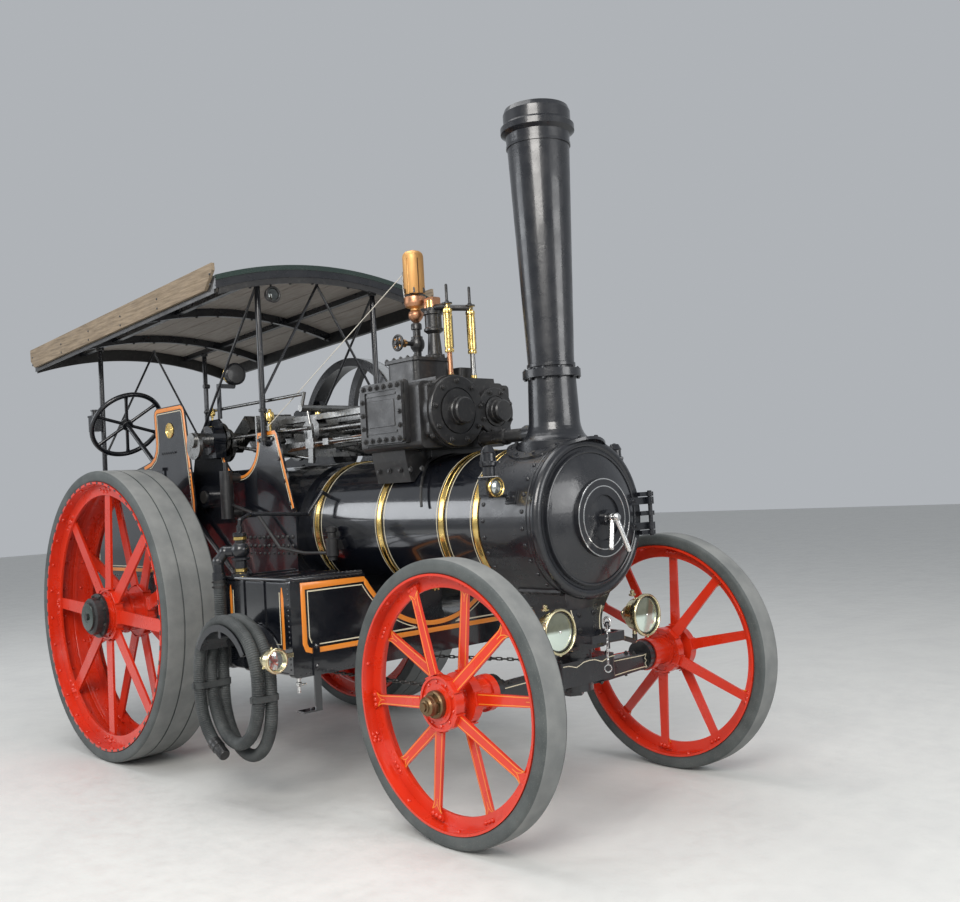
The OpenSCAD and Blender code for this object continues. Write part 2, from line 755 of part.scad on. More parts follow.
// Gears: the teeth of each pair share one tooth size, so the pitch circles follow from the shafts' places
tooth_h = 14;
pinion_teeth = 18;
second_teeth = 52;
second_pinion_teeth = 20;
third_teeth = 46;
third_pinion_teeth = 16;
final_teeth = 52;
third_back = 2900;
third_z = 1334;
train_w = 46;
train_y = [gear_y, gear_y + gear_w + 6, gear_y + gear_w + train_w + 12];
crank_to_second = norm([second_back - crank_back, crank_z - second_z]);
second_to_third = norm([second_back - third_back, second_z - third_z]);
third_to_axle = norm([wheelbase - third_back, third_z - rear_r]);
pinion_r = crank_to_second * pinion_teeth / (pinion_teeth + second_teeth);
second_gear_r = crank_to_second - pinion_r;
second_pinion_r = second_to_third * second_pinion_teeth / (second_pinion_teeth + third_teeth);
third_gear_r = second_to_third - second_pinion_r;
third_pinion_r = third_to_axle * third_pinion_teeth / (third_pinion_teeth + final_teeth);
final_gear_r = third_to_axle - third_pinion_r;
mesh_angle = atan2(second_z - crank_z, crank_back - second_back);
third_angle = atan2(third_z - second_z, second_back - third_back);
final_angle = atan2(rear_r - third_z, third_back - wheelbase);

// Teeth on a pitch circle about a shaft, one of them pointing at the angle given
module gear_teeth(n, r, x, z, y0, y1, angle) {
    root = r - tooth_h / 2 - 3;
    w = PI * r / n;
    translate([x, y1, z]) rotate([90, 0, 0]) linear_extrude(y1 - y0)
        for (i = [0:n - 1]) rotate(angle + i * 360 / n)
            polygon([[root - 4, -w * 0.66], [r, -w * 0.44], [r + tooth_h / 2 - 2, -w * 0.2],
                [r + tooth_h / 2 - 2, w * 0.2], [r, w * 0.44], [root - 4, w * 0.66]]);
}

module spur_pinion(n, r, x, z, y, w, angle) {
    along_y(y, y + w, r - tooth_h / 2 - 2, x, z);
    gear_teeth(n, r, x, z, y, y + w, angle);
}

// A large gear with a thinner web between its rim and its hub
module spur_wheel(n, r, x, z, y, w, angle) {
    difference() {
        along_y(y, y + w, r - tooth_h / 2 - 2, x, z);
        for (side = [-1, 1]) translate([0, side * (w / 2 + 6), 0]) difference() {
            along_y(y, y + w, r - 48, x, z);
            along_y(y - 1, y + w + 1, 92, x, z);
        }
    }
    gear_teeth(n, r, x, z, y, y + w, angle);
}

module gearing() {
    color("dimgray") datum() {
        along_y(-firebox_hw - 90, train_y[1] + train_w + 12, gear_shaft_r, -second_back, second_z);
        spur_wheel(second_teeth, second_gear_r, -second_back, second_z, gear_y, gear_w,
            mesh_angle + 180 / second_teeth + 180);
        spur_pinion(second_pinion_teeth, second_pinion_r, -second_back, second_z, train_y[1], train_w,
            third_angle);
        along_y(firebox_hw - 40, train_y[2] + train_w + 12, gear_shaft_r, -third_back, third_z);
        spur_wheel(third_teeth, third_gear_r, -third_back, third_z, train_y[1], train_w,
            third_angle + 180 / third_teeth + 180);
        spur_pinion(third_pinion_teeth, third_pinion_r, -third_back, third_z, train_y[2], train_w, final_angle);
    }
}

module rear_axle() {
    color("dimgray") datum() {
        along_y(-rear_mid_y - 150, rear_mid_y + 150, axle_r, -wheelbase, rear_r);
        difference() {
            spur_wheel(final_teeth, final_gear_r, -wheelbase, rear_r, train_y[2], train_w,
                final_angle + 180 / final_teeth + 180);
            for (a = [0:60:300]) translate([-wheelbase, 0, rear_r]) rotate([0, a, 0])
                along_y(0, 1000, 62, final_gear_r * 0.58, 0);
        }
    }
}

module footplate() {
    color("#15161a") datum()
        block([-tender_front + seat, -firebox_hw, footplate_z - 12],
            [-firebox_rear - 16, firebox_hw, footplate_z]);
}

tender_low = 820;
tender_corner = 60;
bunker_wall = 4170;
bead_r = 12;

// The tender in plan, drawn in from its outer face by an inset
function tender_plan(inset) = concat(
    [[-tender_front, -tender_hw + inset], [-tender_front, tender_hw - inset]],
    arc([-tender_rear + tender_corner, tender_hw - tender_corner], tender_corner - inset, 90, 180),
    arc([-tender_rear + tender_corner, -tender_hw + tender_corner], tender_corner - inset, 180, 270));

module tender() {
    color("#10131c") datum() {
        difference() {
            flat_plate(tender_plan(0), tender_low, tender_top);
            intersection() {
                flat_plate(tender_plan(tender_t), footplate_z, tender_top + 1);
                block([-bunker_wall, -1000, footplate_z], [0, 1000, tender_top + 1]);
            }
            intersection() {
                flat_plate(tender_plan(tender_t), footplate_z + 100, tender_top + 1);
                block([-tender_rear, -1000, footplate_z], [-bunker_wall - tender_t, 1000, tender_top + 1]);
            }
            block([-tender_front - 1, -tender_hw + tender_t, footplate_z],
                [-tender_front + 10, tender_hw - tender_t, tender_top + 1]);
        }
        difference() {
            flat_plate(tender_plan(-bead_r), tender_top - bead_r, tender_top + bead_r);
            flat_plate(tender_plan(tender_t), tender_top - 100, tender_top + 100);
            block([-tender_front - 1, -1000, tender_top - 100], [0, 1000, tender_top + 100]);
        }
        both_sides() block([-tender_front - tender_t, firebox_hw, footplate_z - 1],
            [-tender_front, tender_hw - 1, 1500]);
    }
}

sheet_t = 10;
sheet_points = [[-2930, 1560], [-2930, 1740], [-3034, 2390], [-3050, 2420], [-3080, 2440], [-3460, 2440],
    [-3492, 2422], [-3505, 2390], [-3490, 2180], [-3500, 2130], [-3530, 2085], [-3590, 2050], [-3680, 2030],
    [-3830, 2005], [-3830, 1560]];

module side_plates() {
    color("#10131c") datum() {
        side_plate(sheet_points, -tender_hw + tender_t, -tender_hw + tender_t + sheet_t);
        intersection() {
            side_plate(sheet_points, tender_hw - tender_t - sheet_t, tender_hw - tender_t);
            block([-4000, 0, 1000], [-second_back - second_gear_r - 40, 1000, 3000]);
        }
    }
}

fire_door_t = 24;
lever_y = reach_y + 11 + seat + 8;
horn_top = 2310;
gauge_y = -330;

module backhead_fittings() {
    color("goldenrod") datum() {
        turned_x(-firebox_rear - fire_door_t, 0, 1400,
            [[0, 0], [120, 0], [150, 8], [190, 8], [190, fire_door_t], [0, fire_door_t]]);
        for (y = [-150, 150]) {
            for (z = [1560, 1780]) {
                along_x(-firebox_rear - 50, -firebox_rear, 14, y, z);
                translate([-firebox_rear - 50, y, z - 26]) cylinder(h = 52, r = 20);
            }
            translate([-firebox_rear - 50, y, 1560]) cylinder(h = 220, r = 10);
        }
        along_x(-firebox_rear - 70, -firebox_rear, 34, 0, 1850);
        rod([-firebox_rear - 56, 0, 1850], [-firebox_rear - 56, 230, 1960], 10);
        along_y(-firebox_hw, lever_y - 8, 20, -lever_back - 20, 1700);
        side_plate([[-lever_back - 36, 1690], [-lever_back - 4, 1690], [-lever_back + 12, 2560],
            [-lever_back - 12, 2560]], lever_y - 8, lever_y + 8);
        along_y(lever_y - 22, lever_y + 22, 16, -lever_back, 2570);
        block([-2835, -firebox_hw - horn_t, horn_top], [-2795, -firebox_hw, horn_top + 250]);
        block([-2830, -firebox_hw - 1, horn_top + 220], [-2806, gauge_y, horn_top + 250]);
        translate([-2818, gauge_y, horn_top + 230]) cylinder(h = 60, r = 10);
        turned_x(-2830, gauge_y, 2634, [[0, 0], [74, 0], [80, 8], [80, 44], [70, 50], [66, 40], [0, 40]]);
    }
}

// Belly tank

tank_flange = 8;
tank_rim = 46;
step_y = 900;
step_z = 534;

module belly_tank() {
    color("#10131c") datum() {
        difference() {
            union() {
                cross_plate(rounded([-tank_hw + tank_flange, tank_low + tank_flange],
                    [tank_hw - tank_flange, tank_high - tank_flange], 26), -tank_front - tank_l, -tank_front);
                for (x = [-tank_front - tank_rim, -tank_front - tank_l])
                    cross_plate(rounded([-tank_hw, tank_low], [tank_hw, tank_high], 30), x, x + tank_rim);
                both_sides() for (x = [-tank_front - 300, -tank_front - 520])
                    cross_plate(rounded([-tank_hw, tank_low], [tank_hw, tank_high], 30), x, x + 30);
            }
            along_x(-tank_front - tank_l - 10, -tank_front + 10, tank_cut_r, 0, boiler_z);
        }
        both_sides() {
            block([-tank_front - 1, step_y - 22, step_z], [-tank_front + 10, step_y + 22, tank_low + 200]);
            block([-tank_front - 60, step_y - 22, step_z - 10], [-tank_front + 10, step_y + 100, step_z]);
        }
    }
}

module tank_brackets() {
    color("#15161a") datum()
        for (x = [-tank_front - 170, -tank_front - tank_l + 170]) difference() {
            intersection() {
                along_x(x - 8, x + 8, tank_cut_r - seat, 0, boiler_z);
                block([x - 20, -190, 900], [x + 20, 190, boiler_z]);
            }
            along_x(x - 20, x + 20, barrel_r + seat, 0, boiler_z);
        }
}

// Front axle and perch

perch_low = 800;
perch_hw = 190;
perch_front = 130;
pin_low = beam_z - beam_h / 2 - 26;

tow_front = 280;
tow_hw = 132;
tow_z = 895;

module front_perch() {
    color("#15161a") datum() {
        difference() {
            union() {
                intersection() {
                    cross_plate(concat([[-perch_hw, 1260], [-perch_hw, 1130]],
                        arc([-perch_hw - 60, perch_low + 150], 130, 40, -40),
                        [[-perch_hw + 60, perch_low + 20], [perch_hw - 60, perch_low + 20]],
                        arc([perch_hw + 60, perch_low + 150], 130, 220, 140),
                        [[perch_hw, 1130], [perch_hw, 1260]]), -200, 200);
                    side_plate([[-150, 1260], [-110, 1000], [-110, perch_low], [perch_front, perch_low],
                        [perch_front, 1040], [168, 1170], [168, 1260]], -perch_hw, perch_hw);
                }
                translate([0, 0, perch_low]) cylinder(h = 90, r = 130);
            }
            along_x(-500, 500, smokebox_r + seat, 0, boiler_z);
        }
        translate([0, 0, pin_low]) cylinder(h = perch_low - pin_low + 20, r = king_r);
        translate([0, 0, pin_low - 26]) cylinder(h = 26, r = king_r + 22, $fn = 6);
        difference() {
            flat_plate(rounded([100, -tow_hw], [tow_front, tow_hw], 16), tow_z - 20, tow_z + 20);
            flat_plate(rounded([131, -tow_hw + 24], [tow_front - 24, tow_hw - 24], 8), tow_z - 30, tow_z + 30);
        }
        translate([tow_front - 12, 0, tow_z - 60]) cylinder(h = 126, r = 9);
        translate([tow_front - 12, 0, tow_z + 20]) cylinder(h = 10, r = 17);
        translate([tow_front - 12, 0, tow_z + 64]) sphere(r = 18);
    }
}

arm_r = 38;
front_hub_in = front_hub_gap / 2 + 30;

axle_end = 600;
fork_hw = 218;
fork_d = 130;
fork_top = 774;
front_barrel = 242;

module front_axle() {
    color("#15161a") datum() {
        difference() {
            union() {
                cross_plate([[-axle_end, beam_z - 44],
                    [-250, beam_z - beam_h / 2 - 12], [250, beam_z - beam_h / 2 - 12],
                    [axle_end, beam_z - 44], [axle_end, beam_z + 44], [250, beam_z + beam_h / 2 + 6],
                    [-250, beam_z + beam_h / 2 + 6], [-axle_end, beam_z + 44]], -beam_d / 2, beam_d / 2);
                flat_plate(rounded([-fork_d, -fork_hw], [fork_d, fork_hw], 24), beam_z - 24, fork_top);
                translate([0, 0, beam_z - beam_h / 2 - 24])
                    cylinder(h = perch_low - 3 - beam_z + beam_h / 2 + 24, r = 112);
            }
            translate([0, 0, 300]) cylinder(h = 900, r = king_r + run_gap);
        }
        both_sides() {
            along_y(axle_end - 1, front_mid_y + front_hub_in, arm_r, 0, front_r);
            along_y(axle_end - 12, front_mid_y - front_barrel - seat, 84, 0, front_r);
        }
    }
}

// Wheels, built lying flat: the axle along Z, the outer face up, the middle of the rim at Z = 0

module stand_wheel(side, x, z, y) {
    translate([x, side * y, z]) rotate([-side * 90, 0, 0]) children();
}

// A flat spoke that leans from the hub ring to the rim's web
module spoke(r0, r1, z0, z1, w, t, foot) {
    lean = atan2(z1 - z0, r1 - r0);
    l = norm([r1 - r0, z1 - z0]);
    translate([r0, 0, z0]) rotate([0, -lean, 0]) translate([0, 0, -t / 2])
        linear_extrude(t) polygon([[0, -w / 2 - 3], [l - foot, -w / 2 + 4], [l - 8, -w / 2 - foot * 0.45],
            [l, -w / 2 - foot * 0.3], [l, w / 2 + foot * 0.3], [l - 8, w / 2 + foot * 0.45],
            [l - foot, w / 2 - 4], [0, w / 2 + 3]]);
}

front_web_r = front_r - front_rubber - front_rim_t;
front_web_t = 14;

module front_wheel(outer_phase, inner_phase) {
    difference() {
        union() {
            hoop(front_w, front_r - front_rubber - seat, front_web_r);
            hoop(front_web_t, front_web_r + 1, front_web_r - front_web_h);
            for (s = [-1, 1]) for (i = [0:front_spokes - 1])
                rotate([0, 0, (s > 0 ? outer_phase : inner_phase) + i * 360 / front_spokes])
                    spoke(70, front_web_r - 12, s * front_hub_gap / 2,
                        s * (front_web_t + front_spoke_t) / 2, front_spoke_w, front_spoke_t, 42);
            for (s = [-1, 1]) translate([0, 0, s * front_hub_gap / 2]) difference() {
                translate([0, 0, -26]) cylinder(h = 52, r = front_hub_r);
                translate([0, 0, s > 0 ? 16 : -36]) difference() {
                    cylinder(h = 20, r = front_hub_r - 12);
                    translate([0, 0, -1]) cylinder(h = 22, r = 94);
                }
            }
            translate([0, 0, -front_barrel]) cylinder(h = front_barrel + front_hub_in, r = 78);
            translate([0, 0, -front_barrel]) cylinder(h = 40, r = 92);
        }
        translate([0, 0, -500]) cylinder(h = 1000, r = arm_r + run_gap);
    }
}

module front_tyre() {
    hoop(front_w, front_r, front_r - front_rubber);
}

module front_cap() {
    translate([0, 0, front_hub_in + seat]) rotate_extrude() polygon([[0, 0], [66, 0], [66, 22], [60, 30],
        [48, 30], [46, 70], [38, 78], [0, 78]]);
    translate([0, 0, front_hub_in + 70]) cylinder(h = 24, r = 22, $fn = 6);
}

module stand_front(side) {
    stand_wheel(side, 0, front_r, front_mid_y) children();
}

module front_wheel_left() { color("orangered") datum() stand_front(1) front_wheel(-12, -48); }
module front_wheel_right() { color("orangered") datum() stand_front(-1) front_wheel(41, 5); }
module front_tyre_left() { color("#4a4e50") datum() stand_front(1) front_tyre(); }
module front_tyre_right() { color("#4a4e50") datum() stand_front(-1) front_tyre(); }
module front_cap_left() { color("#5a4632") datum() stand_front(1) front_cap(); }
module front_cap_right() { color("#5a4632") datum() stand_front(-1) front_cap(); }

rear_web_r = rear_r - rear_rubber - rear_rim_t;
rear_web_t = 16;
rear_hub_in = rear_w / 2 - 10;

module rear_wheel(outer_phase, inner_phase) {
    difference() {
        union() {
            hoop(rear_w, rear_r - rear_rubber - seat, rear_web_r);
            for (s = [-1, 1]) hoop(rear_web_t, rear_web_r + 1, rear_web_r - rear_web_h, s * rear_web_gap / 2);
            for (s = [-1, 1]) for (i = [0:rear_spokes - 1])
                rotate([0, 0, (s > 0 ? outer_phase : inner_phase) + i * 360 / rear_spokes])
                    spoke(90, rear_web_r - 14, s * (rear_web_gap / 2 - 6),
                        s * (rear_web_gap / 2 - rear_web_t / 2 - rear_spoke_t / 2 + 1),
                        rear_spoke_w, rear_spoke_t, 30);
            for (s = [-1, 1]) translate([0, 0, s * (rear_web_gap / 2 - 6)]) difference() {
                translate([0, 0, -26]) cylinder(h = 52, r = rear_hub_r);
                translate([0, 0, s > 0 ? 14 : -34]) difference() {
                    cylinder(h = 20, r = rear_hub_r - 14);
                    translate([0, 0, -1]) cylinder(h = 22, r = 138);
                }
            }
            translate([0, 0, -rear_hub_in]) cylinder(h = 2 * rear_hub_in, r = 128);
        }
        translate([0, 0, -500]) cylinder(h = 1000, r = axle_r + run_gap);
    }
}

module rear_tyre() {
    hoop(rear_w, rear_r, rear_r - rear_rubber);
}

module rear_cap() {
    translate([0, 0, rear_hub_in + seat]) rotate_extrude() polygon([[0, 0], [150, 0], [150, 18], [128, 20],
        [122, 66], [110, 76], [94, 76], [94, 86], [0, 86]]);
    translate([0, 0, rear_hub_in + 80]) cylinder(h = 20, r = 24, $fn = 6);
}

module stand_rear(side) {
    stand_wheel(side, -wheelbase, rear_r, rear_mid_y) children();
}

module rear_wheel_left() { color("orangered") datum() stand_rear(1) rear_wheel(3, -19.5); }
module rear_wheel_right() { color("orangered") datum() stand_rear(-1) rear_wheel(-3, 19.5); }
module rear_tyre_left() { color("#4a4e50") datum() stand_rear(1) rear_tyre(); }
module rear_tyre_right() { color("#4a4e50") datum() stand_rear(-1) rear_tyre(); }
module rear_cap_left() { color("#1b1c20") datum() stand_rear(1) rear_cap(); }
module rear_cap_right() { color("#1b1c20") datum() stand_rear(-1) rear_cap(); }

// Steering

roller_x = -1975;
roller_z = 660;
roller_r = 60;
roller_shaft_r = 25;
column_y = -520;
column_r = 18;
column_l = 2800;
column_angle = 36.4;
worm_r = 25;
worm_wheel_r = 50;
column_dir = [cos(column_angle), 0, -sin(column_angle)];
worm_lift = worm_r + worm_wheel_r + 1;
worm_at = [roller_x + worm_lift * sin(column_angle), column_y, roller_z + worm_lift * cos(column_angle)];
column_top = worm_at - column_dir * column_l;

// Moves to the top of the column, with Z up along it
module along_column() {
    translate(column_top) rotate([0, column_angle - 90, 0]) children();
}

module steering_wheel() {
    color("#1b1c20") datum() along_column() {
        rotate_extrude($fn = 96) translate([steer_r - 14, 0]) circle(r = 14);
        for (a = [0:90:270]) rotate([0, 0, a]) rotate([0, 90, 0]) cylinder(h = steer_r - 14, r = 10);
        rotate_extrude() polygon([[0, -20], [40, -20], [44, 0], [44, 16], [30, 40], [0, 44]]);
    }
}

module steering_shaft() {
    color("dimgray") datum() along_column() {
        translate([0, 0, -column_l - 60]) cylinder(h = column_l + 60 - 20 - seat, r = column_r);
        translate([0, 0, -column_l - 45]) cylinder(h = 90, r = worm_r);
    }
}

bearing_places = [900, column_l - 300];

module steering_gear() {
    color("#1b1c20") datum() {
        along_column() {
            translate([0, 0, -bearing_places[0]]) column_bearing(tender_hw - tender_t - sheet_t + column_y - seat);
            translate([0, 0, -bearing_places[1]]) column_bearing(firebox_hw + horn_t + column_y + seat);
        }
        for (y = [-roller_y - 8, roller_y + 8]) difference() {
            union() {
                block([roller_x - 45, y - 6, roller_z], [roller_x + 45, y + 6, firebox_low]);
                along_y(y - 6, y + 6, 45, roller_x, roller_z);
            }
            along_y(y - 20, y + 20, roller_shaft_r + run_gap, roller_x, roller_z);
        }
    }
}

// A bearing for the column, with an arm that reaches sideways to a plate
module column_bearing(reach) {
    difference() {
        union() {
            cylinder(h = 50, r = 34);
            if (reach > 0) block([-20, -reach, 0], [20, 0, 50]);
            else block([-20, 0, 0], [20, -reach, 50]);
        }
        translate([0, 0, -10]) cylinder(h = 80, r = column_r + run_gap);
    }
}

roller_y = 370;

module chain_roller() {
    color("dimgray") datum() {
        along_y(-roller_y, roller_y, roller_r, roller_x, roller_z);
        along_y(column_y - 30, roller_y + 40, roller_shaft_r, roller_x, roller_z);
        along_y(column_y - 22, column_y + 22, worm_wheel_r, roller_x, roller_z);
    }
}

module steering_chains() {
    color("dimgray") datum() both_sides()
        rod([roller_x, 330, roller_z - roller_r - 12 - seat], [-beam_d / 2 - seat - 1, 520, beam_z - 20], 12);
}

// Lamps

lamp_r = 112;
lamp_y = 352;
lamp_z = 967;
lamp_front = 260;

module headlamps() {
    color("goldenrod") datum() both_sides() {
        turned_x(lamp_front, lamp_y, lamp_z, [
            [0, -178], [12, -178], [26, -160], [26, -146], [50, -130], [84, -92], [lamp_r - 10, -40],
            [lamp_r - 4, -16], [lamp_r + 4, -14], [lamp_r + 4, 0], [lamp_r - 8, 2],
            [lamp_r - 10, -12], [0, -12]]);
        translate([lamp_front - 96, lamp_y, lamp_z - lamp_r - 40]) cylinder(h = 84, r = 12);
        pipe([[lamp_front - 96, lamp_y, lamp_z - lamp_r - 36], [lamp_front - 96, 250, tow_z - 44],
            [perch_front + 18, 120, tow_z - 44]], 12);
        block([perch_front + seat, 96, tow_z - 64], [perch_front + 20, 144, tow_z - 24]);
    }
}

side_lamp_x = 8;
side_lamp_y = 500;
side_lamp_z = 1711;

module smokebox_lamps() {
    color("#17181b") datum() both_sides() {
        turned_x(side_lamp_x, side_lamp_y, side_lamp_z,
            [[0, -62], [34, -62], [44, -40], [44, -8], [50, -6], [50, 6], [40, 8], [40, -4], [0, -4]]);
        translate([side_lamp_x - 36, side_lamp_y + 10, side_lamp_z + 34]) rotate_extrude() polygon([
            [0, 0], [30, 0], [34, 30], [34, 70], [46, 78], [46, 92], [36, 100], [36, 140], [40, 146],
            [24, 176], [0, 180]]);
        difference() {
            block([side_lamp_x - 50, 380, side_lamp_z - 56],
                [side_lamp_x - 26, side_lamp_y + 8, side_lamp_z - 40]);
            along_x(-200, 200, smokebox_r + seat, 0, boiler_z);
        }
    }
}

module tank_lamp() {
    color("goldenrod") datum() {
        turned_x(-tank_front + 110, -tank_hw - 174, 856, [
            [0, -120], [16, -120], [30, -100], [52, -76], [62, -40], [62, -8], [68, -6], [68, 6], [56, 8],
            [56, -4], [0, -4]]);
        block([-tank_front - 8, -tank_hw - 160, 844], [-tank_front + 10, -tank_hw - seat, 868]);
    }
}

module rear_lamp() {
    color("#17181b") datum() {
        translate([-post_rear - 5, -post_y - post_r - seat - 46, 0]) {
            flat_plate(rounded([-50, -40], [50, 40], 10), 2370, 2500);
            flat_plate(rounded([-58, -44], [58, 46], 12), 2490, 2504);
            translate([0, 0, 2503]) cylinder(h = 40, r = 26);
            translate([0, 0, 2540]) cylinder(h = 12, r = 34);
        }
    }
}

// Canopy

canopy_r = (canopy_hw * canopy_hw + canopy_rise * canopy_rise) / (2 * canopy_rise);
canopy_tilt = asin(canopy_fall / (canopy_reach - canopy_front));
canopy_l = (canopy_reach - canopy_front - canopy_rise * sin(canopy_tilt)) / cos(canopy_tilt);
post_y = firebox_hw + horn_t + post_r + seat;
post_front = 2200;
post_rear = tender_rear + bead_r + post_r + seat;

// Height of the roof's underside over the eave line, at a distance from the middle
function roof_under(y) = canopy_rise - canopy_r + sqrt(pow(canopy_r - roof_t, 2) - y * y);

module under_canopy() {
    datum() translate([-canopy_front, 0, eave_z]) rotate([0, -canopy_tilt, 0]) children();
}

module roof_arc(x0, x1, outer, inner) {
    intersection() {
        difference() {
            along_x(x0, x1, outer, 0, canopy_rise - canopy_r, $fn = 256);
            along_x(x0 - 10, x1 + 10, inner, 0, canopy_rise - canopy_r, $fn = 256);
        }
        block([x0 - 1, -canopy_hw, -200], [x1 + 1, canopy_hw, 400]);
    }
}

module canopy_roof() {
    color("#2a2b2d") under_canopy() roof_arc(-canopy_l, 0, canopy_r, canopy_r - roof_t);
}

module canopy_fascia() {
    color("#6b5d4d") under_canopy() both_sides()
        side_plate([[-canopy_l + 70, -fascia_h / 2], [-canopy_l, -fascia_h * 0.1], [-canopy_l, fascia_h / 2],
            [0, fascia_h / 2], [0, fascia_h * 0.2], [-110, -fascia_h / 2]], canopy_hw + seat, canopy_hw + 22);
}

rail_w = 40;

bow_h = 66;
bow_w = 34;
stay_r = 9;
post_foot = 2080;
side_stay_back = 3010;
side_stay_z = 2250;

module canopy_frame() {
    color("#17181b") {
        under_canopy() {
            both_sides() block([-canopy_l + 30, post_y - rail_w / 2, roof_under(post_y + rail_w / 2) - rail_w],
                [-30, post_y + rail_w / 2, roof_under(post_y + rail_w / 2) - seat]);
            for (x = [-bow_w, -canopy_l * 0.43, -canopy_l * 0.78])
                roof_arc(x, x + bow_w, canopy_r - roof_t - seat, canopy_r - roof_t - bow_h);
        }
        datum() {
            both_sides() {
                rod([-post_front, post_y, post_foot], [-post_front, post_y, 3190], post_r);
                along_y(firebox_hw + horn_t, post_y, 30, -post_front, post_foot + 20);
                rod([-post_rear, post_y, tender_top - 280], [-post_rear, post_y, 3080], post_r);
                for (z = [tender_top - 250, tender_top - 80]) block([-post_rear, post_y - post_r - 6, z],
                    [-tender_rear, post_y + post_r + 6, z + 30]);
                rod([-post_front - 15, post_y, 3150], [-side_stay_back, post_y, side_stay_z], stay_r);
            }
            stays(post_front, 3210, 2400);
            stays(post_rear, 3080, 2140);
        }
    }
}

// Two stays from the middle of the roof down to the posts
module stays(back, top, foot) {
    both_sides() rod([-back, -6, top], [-back, post_y, foot], stay_r);
}

// Pipes, water lifter and hose

clack_x = -1530;
clack_y = -450;
pump_arm = 540;

module pipework() {
    color("peru") datum() {
        along_x(-block_front + seat, -chimney_back - exhaust_seat, exhaust_r, 0, exhaust_z);
        for (x = [-block_front + seat, -chimney_back - exhaust_seat - 16])
            along_x(x, x + 16, exhaust_r + 8, 0, exhaust_z);
        pipe([[-2590, -560, 1880], [-2590, -540, 1700], [-2264, -520, 1617], [-2015, -520, 1398],
            [-1804, -470, 1362], [clack_x, clack_y, 1362]], 11);
        translate([clack_x, clack_y, 1318]) rotate_extrude() polygon([
            [0, 0], [26, 0], [26, 20], [40, 26], [40, 130], [26, 140],
            [26, 170], [34, 176], [34, 200], [20, 208], [0, 208]]);
        difference() {
            block([clack_x - 30, clack_y, 1380], [clack_x + 30, -barrel_r + 40, 1440]);
            along_x(-3000, 0, barrel_r + seat, 0, boiler_z);
        }
        for (z = [1640, 1880]) along_y(-pump_arm, -firebox_hw - horn_t, 34, -2590, z);
        translate([-2590, -560, 1600]) cylinder(h = 330, r = 44);
        rod([-2590, -560, 1925], [-2590, -560, 1990], 16);
        pipe(concat([[-826, -(barrel_r + 32) * cos(62), crank_z - low_cover_r - 8 - seat]],
            [for (a = [62:-8:14])
                [-640 - a * 3, -(barrel_r + 32) * cos(a), boiler_z + (barrel_r + 32) * sin(a)]]), 8);
    }
}

lifter = [-tank_front - 590, -tank_hw + 50, tank_high + 140];

// The hose drops into the innermost of three lanes, side by side along the tank, and hangs there in loops
lanes = 3;
lane_pitch = hose_d + 6;
coil_x = -tank_front - 374;
coil_high_z = 723;
coil_low_z = 596;
hose_x = coil_x - loop_r;
hose_y = -tank_hw - 40;
hose_top = 1255;
hose_foot = 700;

module water_lifter() {
    color("#1b1c20") datum() {
        translate([lifter.x, lifter.y, tank_high]) rotate_extrude() polygon([
            [0, 0], [60, 0], [60, 16], [34, 22], [34, 90], [52, 96], [52, 108], [30, 114], [30, 230],
            [40, 236], [40, 256], [16, 262], [16, 300], [0, 306]]);
        translate([lifter.x, lifter.y, lifter.z + 14]) sphere(r = 54);
        pipe([lifter + [0, 0, 10], [-1770, -1056, 1418], [hose_x, hose_y, 1362],
            [hose_x, hose_y, hose_top + seat]], 32);
        translate([hose_x, hose_y, hose_top + seat]) cylinder(h = 42, r = 39);
        pipe([[lifter.x, lifter.y, 1560], [-1677, -1000, 1603], [-1728, -900, 1634], [-1703, -500, 1611],
            [-1655, -(barrel_r + 70) * cos(28), boiler_z + (barrel_r + 70) * sin(28)],
            [-1655, -(barrel_r + seat) * cos(28), boiler_z + (barrel_r + seat) * sin(28)]], 12);
    }
}

hook_r = 15;
loop_room = 4;
coil_outer_r = loop_r + hose_d / 2 + loop_room;
coil_inner_r = loop_r - hose_d / 2 - loop_room / 2;
coil_in_y = hose_y + hose_d / 2 + loop_room / 2;
coil_out_y = hose_y - (lanes - 1) * lane_pitch - hose_d / 2 - loop_room / 2;
saddle_r = coil_inner_r - 1;
saddle_t = 14;
saddle_spread = 58;

// A band of the saddle that the loops hang on
module saddle_band(r0, r1, y0, y1) {
    side_plate(concat(arc([coil_x, coil_high_z], r1, 90 - saddle_spread, 90 + saddle_spread, 12),
        arc([coil_x, coil_high_z], r0, 90 + saddle_spread, 90 - saddle_spread, 12)), y0, y1);
}

module hose_hook() {
    color("#1b1c20") datum() {
        along_y(coil_out_y, -tank_hw, hook_r, coil_x, coil_high_z + saddle_r - 40);
        block([coil_x - 12, coil_out_y, coil_high_z + saddle_r - 50],
            [coil_x + 12, coil_in_y, coil_high_z + saddle_r - saddle_t / 2]);
        saddle_band(saddle_r - saddle_t, saddle_r, coil_out_y - 6, coil_in_y);
        saddle_band(saddle_r - saddle_t, saddle_r + 24, coil_out_y - 6, coil_out_y - seat);
    }
}

// The outline of the loops, across all lanes and somewhat past them on both sides
module loop_body(r, low_z, past = 0) {
    for (z = [low_z, coil_high_z]) along_y(coil_out_y - past, coil_in_y + past, r, coil_x, z);
    block([coil_x - r, coil_out_y - past, low_z], [coil_x + r, coil_in_y + past, coil_high_z]);
}

module hose_coil() {
    color("#4a4e50") datum() difference() {
        loop_body(coil_outer_r, coil_low_z);
        loop_body(coil_inner_r, coil_low_z + 80, 10);
        translate([hose_x, hose_y, hose_foot]) cylinder(h = 400, r = hose_d / 2 + seat);
    }
}

